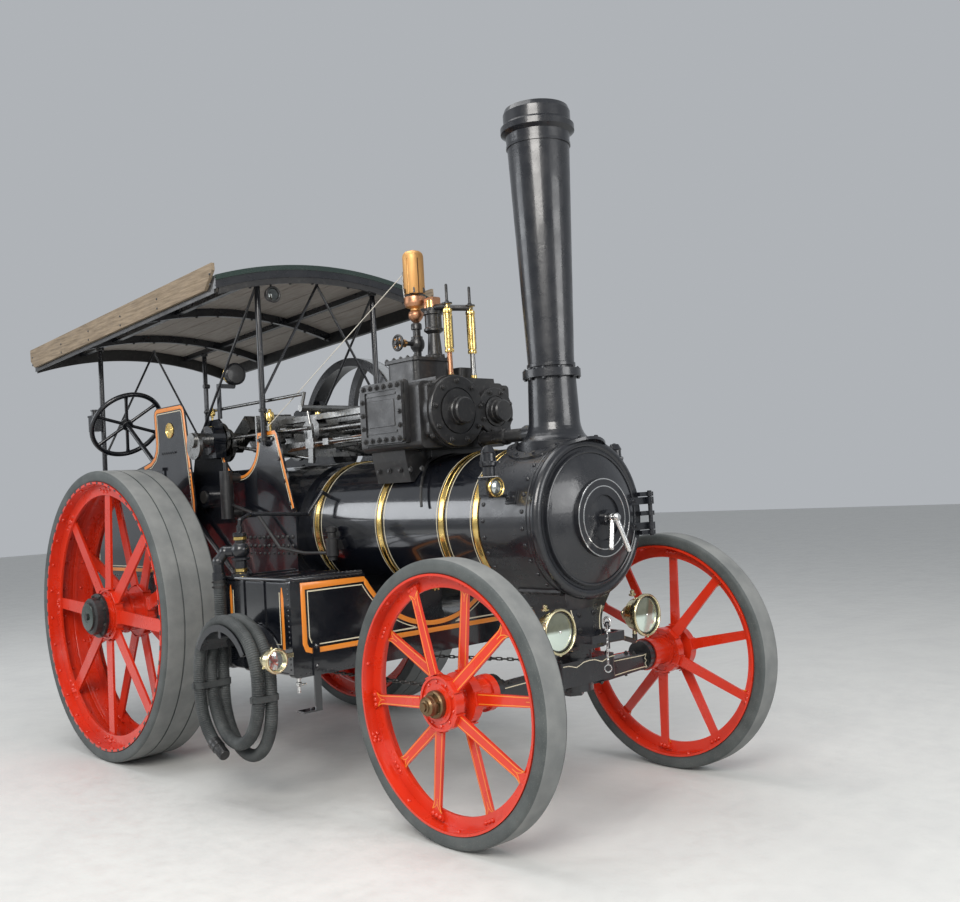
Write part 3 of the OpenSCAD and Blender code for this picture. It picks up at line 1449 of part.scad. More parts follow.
// Rings of points round a route that stays in one XZ plane, and the faces between them
function rings(route, r, n) = [for (i = [0:len(route) - 1])
    let(d = route[min(i + 1, len(route) - 1)] - route[max(i - 1, 0)], side = cross(d / norm(d), [0, 1, 0]))
    for (k = [0:n - 1]) route[i] + r * (cos(360 * k / n) * [0, 1, 0] + sin(360 * k / n) * side)];
function ring_faces(count, n) = concat([[for (k = [0:n - 1]) n - 1 - k]],
    [[for (k = [0:n - 1]) (count - 1) * n + k]],
    [for (i = [0:count - 2]) for (k = [0:n - 1])
        [i * n + k, i * n + (k + 1) % n, (i + 1) * n + (k + 1) % n, (i + 1) * n + k]]);

module hose_drop() {
    route = [for (z = [hose_top, 1100, 960, 820, hose_foot]) [hose_x, hose_y, z]];
    color("#4a4e50") datum() polyhedron(rings(route, hose_d / 2, 12), ring_faces(len(route), 12), convexity = 2);
}

pin_hole_r = 24;

module drawbar() {
    color("#15161a") datum() difference() {
        union() {
            block([-tender_rear - 90, -60, 850], [-tender_rear, 60, 900]);
            translate([-tender_rear - 90, 0, 850]) cylinder(h = 50, r = 60);
            block([-tender_rear - 20, -150, 830], [-tender_rear, 150, 1010]);
            for (y = [-50, 34]) side_plate([[-tender_rear - 19, 899], [-tender_rear - 80, 899],
                [-tender_rear - 19, 1000]], y, y + 16);
        }
        translate([-tender_rear - 90, 0, 600]) cylinder(h = 500, r = pin_hole_r);
    }
}

boiler_barrel();
boiler_bands();
firebox();
ashpan();
smokebox();
smokebox_door();
door_hinge();
chimney_base();
chimney();
cylinder_block();
cylinder_covers();
valve_chest();
brass_columns();
whistle();
crankshaft();
flywheel();
connecting_rods();
guide_bars();
valve_gear();
gearing();
hornplates();
footplate();
tender();
side_plates();
backhead_fittings();
belly_tank();
tank_brackets();
front_perch();
front_axle();
front_wheel_left();
front_wheel_right();
front_tyre_left();
front_tyre_right();
front_cap_left();
front_cap_right();
rear_axle();
rear_wheel_left();
rear_wheel_right();
rear_tyre_left();
rear_tyre_right();
rear_cap_left();
rear_cap_right();
steering_wheel();
steering_shaft();
steering_gear();
chain_roller();
steering_chains();
headlamps();
smokebox_lamps();
tank_lamp();
rear_lamp();
canopy_roof();
canopy_fascia();
canopy_frame();
pipework();
water_lifter();
hose_hook();
hose_coil();
hose_drop();
drawbar();
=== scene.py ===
import json
from math import asin, atan2, cos, degrees, hypot, pi, radians, sin, sqrt

import bpy
from mathutils import Matrix, Vector

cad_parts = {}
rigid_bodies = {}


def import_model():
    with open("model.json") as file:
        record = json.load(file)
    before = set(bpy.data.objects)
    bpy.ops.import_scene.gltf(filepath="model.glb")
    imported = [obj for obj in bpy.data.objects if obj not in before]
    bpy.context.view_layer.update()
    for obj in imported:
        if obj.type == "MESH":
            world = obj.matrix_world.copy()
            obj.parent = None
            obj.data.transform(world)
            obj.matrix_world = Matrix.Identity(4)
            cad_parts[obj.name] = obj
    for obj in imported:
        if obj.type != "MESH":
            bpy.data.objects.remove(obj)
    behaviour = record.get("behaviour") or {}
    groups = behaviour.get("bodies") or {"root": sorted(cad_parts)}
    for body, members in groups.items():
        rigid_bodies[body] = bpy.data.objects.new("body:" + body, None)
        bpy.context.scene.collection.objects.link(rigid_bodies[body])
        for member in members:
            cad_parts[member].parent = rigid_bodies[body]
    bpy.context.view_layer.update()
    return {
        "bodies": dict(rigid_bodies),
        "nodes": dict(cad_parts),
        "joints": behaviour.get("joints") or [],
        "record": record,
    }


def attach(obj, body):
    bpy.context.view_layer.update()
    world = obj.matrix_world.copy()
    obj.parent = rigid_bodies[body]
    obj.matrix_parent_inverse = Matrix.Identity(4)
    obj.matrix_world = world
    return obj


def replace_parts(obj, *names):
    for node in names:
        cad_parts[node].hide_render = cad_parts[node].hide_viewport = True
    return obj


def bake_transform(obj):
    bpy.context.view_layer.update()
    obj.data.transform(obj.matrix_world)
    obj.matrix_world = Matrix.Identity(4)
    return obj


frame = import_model()
nodes = frame["nodes"]

# Places are counted from the front axle, as in the part's source, and at() moves them to the frame
AXLE_X = 2.2045
UP, DOWN, FRONT, BACK, LEFT, RIGHT = (0, 0, 1), (0, 0, -1), (1, 0, 0), (-1, 0, 0), (0, 1, 0), (0, -1, 0)
SIDES = ((1, LEFT), (-1, RIGHT))


def at(x, y, z):
    return Vector((x + AXLE_X, y, z))


def linked(name, data):
    """A new object in the scene."""
    item = bpy.data.objects.new(name, data)
    bpy.context.scene.collection.objects.link(item)
    return item


# Camera, at the photograph's angle

CAMERA_AT = at(3.8505, -4.2253, 1.7005)
CAMERA_TURN, CAMERA_RISE, CAMERA_ROLL = radians(136.65), radians(2.13), radians(-3.23)

camera_data = bpy.data.cameras.new("camera")
camera_data.sensor_width = 36
camera_data.lens = 39.22
camera = linked("camera", camera_data)
bpy.context.scene.camera = camera
ahead = Vector((cos(CAMERA_RISE) * cos(CAMERA_TURN), cos(CAMERA_RISE) * sin(CAMERA_TURN), sin(CAMERA_RISE)))
right = Vector((sin(CAMERA_TURN), -cos(CAMERA_TURN), 0))
up = right.cross(ahead)
right, up = right * cos(CAMERA_ROLL) + up * sin(CAMERA_ROLL), up * cos(CAMERA_ROLL) - right * sin(CAMERA_ROLL)
camera.matrix_world = Matrix.Translation(CAMERA_AT) @ Matrix((right, up, -ahead)).transposed().to_4x4()

# Finishes


class Shader:
    """A material of one Principled shader, with noise at a real scale to vary it."""

    def __init__(self, name, color, rough, metal=0.0, coat=0.0, specular=0.5):
        self.material = bpy.data.materials.new(name)
        self.material.use_nodes = True
        self.tree = self.material.node_tree
        self.inputs = self.tree.nodes["Principled BSDF"].inputs
        for socket, value in (("Base Color", (*color, 1)), ("Roughness", rough), ("Metallic", metal),
                              ("Coat Weight", coat), ("Coat Roughness", 0.06), ("Specular IOR Level", specular)):
            self.inputs[socket].default_value = value
        self.place = self.node("ShaderNodeTexCoord").outputs["Object"]
        self.normal = None

    def plug(self, socket, value):
        if isinstance(value, bpy.types.NodeSocket):
            self.tree.links.new(value, socket)
        else:
            socket.default_value = value

    def node(self, kind, **sockets):
        node = self.tree.nodes.new(kind)
        for name, value in sockets.items():
            self.plug(node.inputs[name.replace("_", " ")], value)
        return node

    def math(self, operation, first, second=0.0):
        node = self.tree.nodes.new("ShaderNodeMath")
        node.operation = operation
        self.plug(node.inputs[0], first)
        self.plug(node.inputs[1], second)
        return node.outputs[0]

    def noise(self, scale, detail=4.0, rough=0.55, stretch=(1, 1, 1)):
        place = self.node("ShaderNodeMapping", Vector=self.place, Scale=stretch).outputs["Vector"]
        node = self.node("ShaderNodeTexNoise", Vector=place, Scale=scale, Detail=detail, Roughness=rough)
        return node.outputs["Fac"]

    def ramp(self, value, low, high, start=0.0, end=1.0):
        return self.node("ShaderNodeMapRange", Value=value, From_Min=low, From_Max=high,
                         To_Min=start, To_Max=end).outputs["Result"]

    def mix(self, factor, first, second):
        node = self.tree.nodes.new("ShaderNodeMix")
        node.data_type = "RGBA"
        self.plug(node.inputs[0], factor)
        for socket, color in ((node.inputs[6], first), (node.inputs[7], second)):
            self.plug(socket, color if isinstance(color, bpy.types.NodeSocket) else (*color, 1))
        return node.outputs[2]

    def bump(self, height, distance):
        node = self.node("ShaderNodeBump", Height=height, Distance=distance)
        if self.normal is not None:
            self.tree.links.new(self.normal, node.inputs["Normal"])
        self.normal = node.outputs["Normal"]
        self.plug(self.inputs["Normal"], self.normal)

    def finish(self, color, rough, height, distance):
        self.plug(self.inputs["Base Color"], color)
        self.plug(self.inputs["Roughness"], rough)
        self.bump(height, distance)
        return self.material


def painted(name, color, worn, rough, coat, grain=0.0004, dust=0.2):
    """Brushed enamel: a slight change of tone, uneven gloss, dust in specks and a fine orange peel."""
    s = Shader(name, color, rough, coat=coat)
    tone = s.ramp(s.noise(2.2, 6), 0.42, 0.72)
    specks = s.ramp(s.noise(38, 5), 0.56, 0.78, 0, dust)
    return s.finish(s.mix(specks, s.mix(tone, color, worn), (0.16, 0.15, 0.135)),
                    s.ramp(s.noise(9, 6), 0.3, 0.75, rough * 0.75, rough * 1.6), s.noise(60, 3), grain)


def metal(name, color, dull, rough, grain=0.0002, spots=0.35):
    """Bare metal: finely brushed, with darker tarnish in patches."""
    s = Shader(name, color, rough, metal=1.0)
    tarnish = s.ramp(s.noise(14, 7), 0.48, 0.80, 0, spots)
    return s.finish(s.mix(tarnish, color, dull), s.ramp(s.noise(32, 6), 0.3, 0.75, rough * 0.7, rough * 1.7),
                    s.noise(120, 4), grain)


def rubber(name, color, pale, rough, grain):
    """Rubber or canvas: paler where it is scuffed, dusty in specks, with a fine grain."""
    s = Shader(name, color, rough, specular=0.3)
    scuff = s.ramp(s.noise(5, 8, 0.65), 0.38, 0.7)
    specks = s.ramp(s.noise(150, 3), 0.58, 0.72, 0, 0.4)
    return s.finish(s.mix(specks, s.mix(scuff, color, pale), (0.20, 0.195, 0.18)),
                    s.ramp(s.noise(40, 4), 0.3, 0.7, rough * 0.85, min(1.0, rough * 1.15)),
                    s.noise(90, 6, 0.6), grain)


def boards(name, color, dark, rough=0.8, grain=0.0006):
    """Weathered boards, streaked along X, with a dark line where a board ends."""
    s = Shader(name, color, rough, specular=0.25)
    side = s.node("ShaderNodeSeparateXYZ", Vector=s.place).outputs[2]
    gap = s.ramp(s.math("FRACT", s.math("DIVIDE", side, 10.0)), 0.0, 0.05, 1, 0)
    streak = s.ramp(s.noise(7, 8, 0.65, (0.6, 9, 9)), 0.35, 0.7)
    material = s.finish(s.mix(gap, s.mix(streak, color, dark), (0.01, 0.009, 0.008)),
                        s.ramp(s.noise(20, 5), 0.3, 0.7, rough * 0.85, min(1.0, rough * 1.2)),
                        s.noise(60, 6, 0.6, (0.3, 6, 6)), grain)
    s.bump(s.ramp(gap, 0, 1, 1, 0), 0.003)
    return material


def lamp_glass(name, color, rim):
    """A lamp's front glass over its reflector, with rings of light and shade and a faint streak."""
    s = Shader(name, color, 0.05, metal=0.85, coat=1.0)
    return s.finish(s.mix(s.ramp(s.noise(9, 3, 0.5, (1, 1, 2.2)), 0.42, 0.62), color, rim),
                    s.ramp(s.noise(30, 4), 0.3, 0.7, 0.03, 0.14), s.noise(70, 2), 0.0003)


def headlamp_glass(name, sky, ground, split):
    """A headlamp's glass: olive where it mirrors the trees, pale below the line of the horizon."""
    s = Shader(name, sky, 0.06, metal=0.5, coat=1.0)
    height = s.node("ShaderNodeSeparateXYZ", Vector=s.place).outputs["Z"]
    wavy = s.math("ADD", height, s.math("MULTIPLY", s.noise(18, 3), 0.012))
    tone = s.mix(s.ramp(s.noise(26, 4), 0.35, 0.7, 0, 0.35), sky, (0.10, 0.11, 0.08))
    return s.finish(s.mix(s.ramp(wavy, split, split + 0.016), ground, tone),
                    s.ramp(s.noise(30, 4), 0.3, 0.7, 0.04, 0.15), s.noise(70, 2), 0.0003)


def whistle_metal(name, color, dark):
    """Tan bronze, drawn upward, with heat stains that run along it."""
    s = Shader(name, color, 0.3, metal=1.0)
    stain = s.ramp(s.noise(10, 5, 0.55, (1, 1, 0.25)), 0.45, 0.8, 0, 0.75)
    return s.finish(s.mix(stain, color, dark), s.ramp(s.noise(30, 5, 0.6, (1, 1, 0.3)), 0.3, 0.75, 0.48, 0.70),
                    s.noise(90, 3), 0.0002)


GLOSS = painted("gloss_black_paint", (0.004, 0.005, 0.008), (0.009, 0.01, 0.013), 0.16, 0.9, dust=0.08)
SATIN = painted("satin_black_paint", (0.007, 0.008, 0.011), (0.015, 0.016, 0.019), 0.27, 0.3, 0.0006, dust=0.08)
IRON = painted("oily_cast_iron", (0.012, 0.012, 0.013), (0.028, 0.027, 0.026), 0.36, 0.15, 0.0012, dust=0.22)
RED = painted("vermilion_enamel", (0.62, 0.028, 0.006), (0.5, 0.02, 0.004), 0.28, 0.35, 0.0003, dust=0.05)
ORANGE = painted("orange_lining", (0.78, 0.25, 0.025), (0.66, 0.19, 0.02), 0.32, 0.4, 0.0002, dust=0.05)
CREAM = painted("cream_lining", (0.68, 0.62, 0.46), (0.55, 0.49, 0.34), 0.35, 0.4, 0.0002, dust=0.05)
GREEN = painted("dark_green_paint", (0.008, 0.022, 0.017), (0.014, 0.031, 0.024), 0.22, 0.6, 0.0004, dust=0.08)
STEEL = metal("oiled_bright_steel", (0.25, 0.25, 0.245), (0.12, 0.115, 0.105), 0.27, 0.00006, spots=0.5)
SILVER = metal("polished_plate", (0.74, 0.74, 0.73), (0.56, 0.55, 0.53), 0.18, 0.0001, spots=0.3)
DARK_STEEL = metal("oily_steel", (0.13, 0.125, 0.12), (0.05, 0.045, 0.04), 0.34)
BRASS = metal("polished_brass", (0.86, 0.62, 0.22), (0.52, 0.32, 0.09), 0.16, spots=0.22)
BRONZE = metal("worn_bronze", (0.2, 0.135, 0.075), (0.07, 0.045, 0.028), 0.38, 0.0005)
GLASS = lamp_glass("lamp_glass", (0.62, 0.66, 0.64), (0.34, 0.37, 0.36))
HEAD_GLASS = headlamp_glass("headlamp_glass", (0.2, 0.21, 0.15), (0.62, 0.72, 0.64), 0.966)
WHISTLE = whistle_metal("tan_bronze", (0.66, 0.38, 0.15), (0.37, 0.2, 0.08))
PALE_BRASS = metal("pale_brass", (0.74, 0.67, 0.43), (0.46, 0.4, 0.24), 0.2, spots=0.2)
COPPER = metal("warm_copper", (0.5, 0.255, 0.145), (0.25, 0.12, 0.07), 0.34)
TYRE = rubber("tyre_tread", (0.155, 0.162, 0.16), (0.235, 0.24, 0.232), 0.8, 0.001)
TYRE_WALL = rubber("tyre_wall", (0.058, 0.066, 0.066), (0.1, 0.11, 0.108), 0.62, 0.0006)
HOSE = rubber("hose_rubber", (0.028, 0.032, 0.033), (0.085, 0.092, 0.092), 0.55, 0.0005)
CLOTH = rubber("roof_canvas", (0.03, 0.034, 0.033), (0.055, 0.065, 0.06), 0.85, 0.0006)
SIDE_BOARD = boards("side_board", (0.3, 0.235, 0.165), (0.13, 0.1, 0.07))
PLANKS = boards("roof_planks", (0.4, 0.365, 0.335), (0.29, 0.255, 0.22), 0.7, 0.0003)
ROPE = rubber("white_cord", (0.55, 0.52, 0.45), (0.66, 0.63, 0.56), 0.85, 0.0003)
DARK_GLASS = lamp_glass("dark_lamp_glass", (0.09, 0.1, 0.095), (0.035, 0.04, 0.038))
RED_GLASS = lamp_glass("red_glass", (0.45, 0.02, 0.015), (0.2, 0.008, 0.008))

FINISHES = {
    GLOSS: "boiler_barrel firebox hornplates tender side_plates belly_tank",
    SATIN: """smokebox smokebox_door door_hinge chimney_base chimney canopy_frame smokebox_lamps rear_lamp ashpan
        front_axle front_perch tank_brackets footplate drawbar steering_wheel hose_hook water_lifter
        backhead_fittings steering_gear steering_shaft flywheel""",
    IRON: """cylinder_block cylinder_covers valve_chest gearing rear_axle chain_roller pipework rear_cap_left
        rear_cap_right""",
    RED: "front_wheel_left front_wheel_right rear_wheel_left rear_wheel_right",
    TYRE: "front_tyre_left front_tyre_right rear_tyre_left rear_tyre_right",
    STEEL: "crankshaft connecting_rods guide_bars valve_gear",
    DARK_STEEL: "steering_chains",
    BRASS: "boiler_bands brass_columns",
    PALE_BRASS: "headlamps tank_lamp",
    WHISTLE: "whistle",
    BRONZE: "front_cap_left front_cap_right",
    CLOTH: "canopy_roof",
    SIDE_BOARD: "canopy_fascia",
    HOSE: "hose_coil hose_drop",
}
for finish, names in FINISHES.items():
    for name in names.split():
        mesh = nodes[name].data
        mesh.materials.clear()
        mesh.materials.append(finish)

# Mesh helpers


def polar(r, a, z=0.0):
    """A place given by its radius, its angle in radians and its height."""
    return Vector((r * cos(a), r * sin(a), z))


def rect(a, b):
    """A rectangle's corners, from its half width and half height."""
    return [(-a, -b), (a, -b), (a, b), (-a, b)]


def mm(text):
    """Places written in millimetres, parted by commas, such as a profile's "radius height" pairs."""
    return [tuple(float(value) / 1000 for value in place.split()) for place in text.split(",")]


def ring_of(count, start=0.0):
    """Evenly spaced angles in radians, from a start in degrees."""
    return [radians(start + 360 * k / count) for k in range(count)]


def row(put, first, step, count, *look):
    """The same rivet or bolt at even steps along a line."""
    for k in range(count):
        put(Vector(first) + Vector(step) * k, *look)


def circle(put, frame, r, height, count, start, *look):
    """The same rivet or bolt at even steps round a frame's Z."""
    for a in ring_of(count, start):
        put(frame @ polar(r, a, height), *look)


def facing(place, out, roll=UP):
    """A frame at a place with Z pointing out and X as near as can be to roll."""
    z = Vector(out).normalized()
    x = Vector(roll) - z * z.dot(Vector(roll))
    if x.length < 1e-4:
        x = z.orthogonal()
    x.normalize()
    return Matrix.Translation(Vector(place)) @ Matrix((x, z.cross(x), z)).transposed().to_4x4()


def arc_points(middle, radius, start, end, steps, across=FRONT):
    """Points on an upright arc, with angles in degrees that count from across to up."""
    angles = [radians(start + (end - start) * i / steps) for i in range(steps + 1)]
    return [Vector(middle) + Vector(across) * radius * cos(a) + Vector(UP) * radius * sin(a) for a in angles]


def inward(outline, inset):
    """An open line of (x, z) places, moved sideways by inset, to the right of its own direction."""
    line = [Vector(p) for p in outline]
    out = []
    for i, p in enumerate(line):
        before = (p - line[i - 1]).normalized() if i else (line[1] - p).normalized()
        after = (line[i + 1] - p).normalized() if i + 1 < len(line) else before
        d = (before + after).normalized()
        out.append(p + Vector((d.y, -d.x)) * inset / max(0.6, d.dot(before)))
    return out


class Piece:
    """One piece, gathered from turned, swept and cut forms. Places are counted from the front axle.

    A frame may be given as a matrix, or as what facing takes. A profile may be given as a text for mm.
    """

    every = []  # the pieces whose mesh isn't made yet

    def __init__(self, name, finish, body="root", sharp=38.0):
        self.finish, self.body, self.sharp = finish, body, sharp
        self.points, self.faces = [], []
        self.object = linked(name, bpy.data.meshes.new(name))
        Piece.every.append(self)

    def add(self, points, faces, frame=None):
        start = len(self.points)
        if isinstance(frame, tuple):
            frame = facing(*frame)
        self.points += [frame @ Vector(p) if frame else Vector(p) for p in points]
        self.faces += [[start + i for i in face] for face in faces]

    def skin(self, points, n, frame=None, closed=False):
        """A skin over rings of n points, with its ends filled, or with its last ring joined to its first."""
        count = len(points) // n
        faces = [[i * n + k, i * n + (k + 1) % n, (i + 1) % count * n + (k + 1) % n, (i + 1) % count * n + k]
                 for i in range(count if closed else count - 1) for k in range(n)]
        if not closed:
            faces += [list(range(n))[::-1], list(range(len(points) - n, len(points)))]
        self.add(points, faces, frame)

    def turn(self, profile, frame, steps=16):
        """A body turned about the frame's Z. The profile is a list of (radius, height)."""
        points, faces, rings = [], [], []
        for r, h in mm(profile) if isinstance(profile, str) else profile:
            size = steps if r > 1e-7 else 1
            rings.append(range(len(points), len(points) + size))
            points += [polar(r, a, h) for a in ring_of(size)]
        for first, second in zip(rings, rings[1:]):
            for k in range(steps):
                face = [first[k % len(first)], first[(k + 1) % len(first)],
                        second[(k + 1) % len(second)], second[k % len(second)]]
                faces.append([p for i, p in enumerate(face) if p not in face[:i]])
        self.add(points, [face for face in faces if len(face) > 2], frame)

    def rivet(self, place, out, r):
        head = ((1, -0.1), (0.94, 0.3), (0.68, 0.58), (0.34, 0.72), (0, 0.76))
        self.turn([(r * a, r * h) for a, h in head], (place, out), 10)

    def nut(self, place, out, r, stud=()):
        """A hexagon nut on its washer."""
        for steps, form in ((14, ((1.32, -0.1), (1.32, 0.14), (1.2, 0.22), (0, 0.22))),
                            (6, ((1, 0.2), (1, 0.86), (0.84, 1), (0, 1))), *stud):
            self.turn([(r * a, r * h) for a, h in form], (place, out, (0.3, 0.5, 0.8)), steps)

    def bolt(self, place, out, r):
        """A nut with the stud's end standing out of it."""
        self.nut(place, out, r, [(10, ((0.5, 1), (0.5, 1.3), (0.38, 1.42), (0, 1.42)))])

    def sweep(self, route, r, steps=10, closed=False, flat=None):
        """A round bar along a route, or with flat=(width, thickness, out) a flat one lying on a surface."""
        route = [Vector(p) for p in route]
        count = len(route)
        points, side = [], None
        for i, p in enumerate(route):
            if closed:
                d = route[(i + 1) % count] - route[i - 1]
            else:
                d = route[min(i + 1, count - 1)] - route[max(i - 1, 0)]
            d.normalize()
            if flat:
                out = flat[2](p) if callable(flat[2]) else Vector(flat[2])
                out = (out - d * d.dot(out)).normalized()
                before = (p - route[i - 1]).normalized() if closed or i else d
                w = d.cross(out) * flat[0] / 2 / max(0.6, d.dot(before))
                points += [p + w * across + out * flat[1] * rise
                           for across, rise in ((-1, -0.3), (-0.9, 1), (0.9, 1), (1, -0.3))]
            else:
                side = (side - d * d.dot(side) if side else d.orthogonal()).normalized()
                over = d.cross(side)
                radius = r(i / max(1, count - 1)) if callable(r) else r
                points += [p + radius * (cos(a) * side + sin(a) * over) for a in ring_of(steps)]
        self.skin(points, 4 if flat else steps, closed=closed)

    def stripe(self, route, out, width=0.005, lift=0.0008, closed=False):
        self.sweep(route, 0, closed=closed, flat=(width, lift, out))

    def slab(self, outline, frame, depth, bevel=0.002):
        """A plate with a softened front edge, its outline in the frame's XY plane and its front toward Z."""
        middle = Vector([sum(axis) / len(outline) for axis in zip(*outline)])
        points = [(*(Vector(p) + (middle - Vector(p)).normalized() * inset), h)
                  for inset, h in ((0, 0), (0, depth - bevel), (bevel, depth)) for p in outline]
        self.skin(points, len(outline), frame)

    def torus(self, place, out, ring, tube, steps=48, around=10):
        spot = facing(place, out)
        self.sweep([spot @ polar(ring, a) for a in ring_of(steps)], tube, around, closed=True)

    def build(self):
        """Makes the mesh, once everything is gathered, and hands over the object."""
        mesh = self.object.data
        mesh.from_pydata([at(*p) for p in self.points], [], self.faces)
        mesh.validate()
        mesh.polygons.foreach_set("use_smooth", [True] * len(mesh.polygons))
        mesh.set_sharp_from_angle(angle=radians(self.sharp))
        mesh.materials.append(self.finish)
        if self.body:
            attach(self.object, self.body)
        Piece.every.remove(self)
        return self.object


# Suction hose: it drops from the water lifter and hangs in two and a half loops over its saddle

HOSE_R, HOSE_RIB = 0.036, 0.0125
HOOK_X, DROP_X, LOOP_R = -1.474, -1.796, 0.322
LANES = (-1.09, -1.168, -1.246)
HOSE_TOP, LOOP_HIGH = 1.255, 0.723
LOOP_LOWS = (0.596, 0.677, 0.61)
HOSE_END = 245


def hose_route():
    """The hose's middle line: down each left side, round a bottom to the next lane, up and over the saddle."""
    points = []

    def straight(x, y, z0, z1):
        count = max(2, round(abs(z1 - z0) / 0.05))
        points.extend(Vector((x, y, z0 + (z1 - z0) * i / count)) for i in range(count + 1))

    straight(DROP_X, LANES[0], HOSE_TOP, LOOP_LOWS[0])
    for lane in (0, 1):
        bottom = arc_points((HOOK_X, LANES[lane], LOOP_LOWS[lane]), LOOP_R, 180, 360, 40)
        for i, p in enumerate(bottom):
            t = i / 40
            p.y += (LANES[lane + 1] - LANES[lane]) * t * t * (3 - 2 * t)
        points.extend(bottom[1:])
        straight(HOOK_X + LOOP_R, LANES[lane + 1], LOOP_LOWS[lane] + 0.02, LOOP_HIGH)
        points.extend(arc_points((HOOK_X, LANES[lane + 1], LOOP_HIGH), LOOP_R, 0, 180, 40)[1:])
        if lane == 0:
            straight(DROP_X, LANES[1], LOOP_HIGH - 0.02, LOOP_LOWS[1])
    straight(DROP_X, LANES[2], LOOP_HIGH - 0.04, LOOP_LOWS[2])
    points.extend(arc_points((HOOK_X, LANES[2], LOOP_LOWS[2]), LOOP_R, 180, HOSE_END, 16)[1:])
    clean = [points[0]]
    for p in points[1:]:
        if (p - clean[-1]).length > 0.008:
            clean.append(p)
    return clean


def spaced(route, step):
    """The same route with its points a fixed step apart."""
    out, left = [route[0].copy()], 0.0
    for a, b in zip(route, route[1:]):
        span = (b - a).length
        along = step - left
        while along <= span:
            out.append(a.lerp(b, along / span))
            along += step
        left = span - (along - step)
    if (out[-1] - route[-1]).length > step * 0.3:
        out.append(route[-1].copy())
    return out


def hose_radius(t):
    """The radius along the hose: four points to a rib, and smooth for 70 mm at both ends."""
    i = t * (len(fine) - 1)
    if min(i, len(fine) - 1 - i) < 0.07 / (HOSE_RIB / 4):
        return HOSE_R - 0.0006
    return HOSE_R - (0.0, 0.0007, 0.0034, 0.0007)[round(i) % 4]


route = hose_route()
fine = spaced(route, HOSE_RIB / 4)
hose = Piece("suction_hose", HOSE, sharp=60)
hose.sweep(fine, hose_radius, 18)

straps = Piece("hose_straps", HOSE)
for x, z, lanes, height in ((DROP_X, 0.655, LANES, 0.038), (HOOK_X + LOOP_R, 0.64, LANES[1:], 0.034)):
    # A rubber strap drawn round the strands that hang side by side
    low, high = min(lanes), max(lanes)
    loop = [Vector((x, y, z)) + polar(HOSE_R + 0.0025, half + pi * k / 12)
            for y, half in ((high, 0), (low, pi)) for k in range(13)]
    straps.stripe(loop, lambda p: p - Vector((x, min(max(p.y, low), high), z)), height, 0.0035, closed=True)
    straps.slab(rect(0.016, 0.012), ((x, low - HOSE_R - 0.004, z), RIGHT), 0.008)

fittings = Piece("hose_fittings", IRON)
for z in (1.243, 1.213):
    fittings.turn("35 -8, 40 -7, 40 7, 35 8", ((DROP_X, LANES[0], z), UP), 28)
    fittings.bolt((DROP_X, LANES[0] - HOSE_R - 0.006, z), RIGHT, 0.006)
# The free end's coupling and strainer, with its holes
end_way = (route[-1] - route[-2]).normalized()
end_spot = facing(route[-1] - end_way * 0.05, end_way)
fittings.turn("33 -10, 38.5 -8, 38.5 16, 36 18, 36 30, 38.5 32, 38.5 50, 33 54, 33 120, 30 126, 0 128", end_spot, 28)
for k in range(4):
    for a in ring_of(12, 15 * (k % 2)):
        hole = (end_spot @ polar(0.033, a, 0.066 + k * 0.015), end_spot.to_3x3() @ polar(1, a))
        fittings.turn("4.2 -0.5, 4.2 0.8, 2.8 0.8, 2.6 -1", hole, 8)

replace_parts(hose.build(), "hose_coil", "hose_drop")
straps.build()
fittings.build()

# Wheels, each drawn in its own frame: the axle along Z and the outer face up

FRONT_WHEEL, REAR_WHEEL = (0, 0.691, 0.8725), (-3.205, 0.99, 1.046)


def wheel_frame(side, x, z, y):
    """A wheel's frame. side is 1 on the left."""
    turn = Matrix((FRONT, (0, 0, side), (0, -side, 0))).to_4x4()
    return Matrix.Translation((x, side * y, z)) @ turn


def spoke_point(a, r0, z0, r1, z1, along, across, lift):
    """A point on a spoke: along it from the hub, across it and above its middle plane."""
    lean = atan2(z1 - z0, r1 - r0)
    r = r0 + along * cos(lean) - lift * sin(lean)
    return polar(r, a, z0 + along * sin(lean) + lift * cos(lean)) + polar(across, a + pi / 2)


def tyre(name, body, side, wheel, w, depth, grooves=()):
    """A rubber tyre of width w in place of the CAD's, with grooves at the given distances from its middle."""
    half = [(0, 0)]
    for g in grooves:
        half += [(g - 0.005, 0), (g - 0.0035, -0.008), (g + 0.0035, -0.008), (g + 0.005, 0)]
    half += [(w / 2 - inset, -drop) for inset, drop in (
        (0.0247, 0.0004), (0.013, 0.002), (0.00455, 0.0065), (0.0006, 0.01625), (0, 0.0286),
        (0.001, depth * 0.7), (0.003, depth * 0.92), (0.01, depth))]
    profile = [(wheel[1] + drop, -across) for across, drop in reversed(half[1:])]
    profile += [(wheel[1] + drop, across) for across, drop in half]
    piece = Piece(name, TYRE, body, sharp=50)
    piece.turn(profile + [profile[0]], wheel_frame(side, *wheel), 144)
    mesh = piece.build().data
    # The side walls are darker than the worn tread
    mesh.materials.append(TYRE_WALL)
    for face in mesh.polygons:
        if abs(face.normal.y) > 0.45 and abs(face.center.y - wheel[2]) > w * 0.4:
            face.material_index = 1
    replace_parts(piece.object, name.replace("rubber", "tyre"))


def in_frame(spot):
    """A function that puts a rivet, bolt or slab whose place and directions are given in the frame spot."""
    turned = spot.to_3x3()
    return lambda put, place, out, *look: put(spot @ Vector(place), turned @ Vector(out), *look)


def hub_pad(piece, spot, a, r, z, size):
    """A cast pad on a hub ring, over a spoke."""
    turned = spot.to_3x3()
    piece.slab(rect(*size), (spot @ polar(r, a, z), turned @ polar(1, a), turned @ Vector(UP)), 0.006, 0.003)


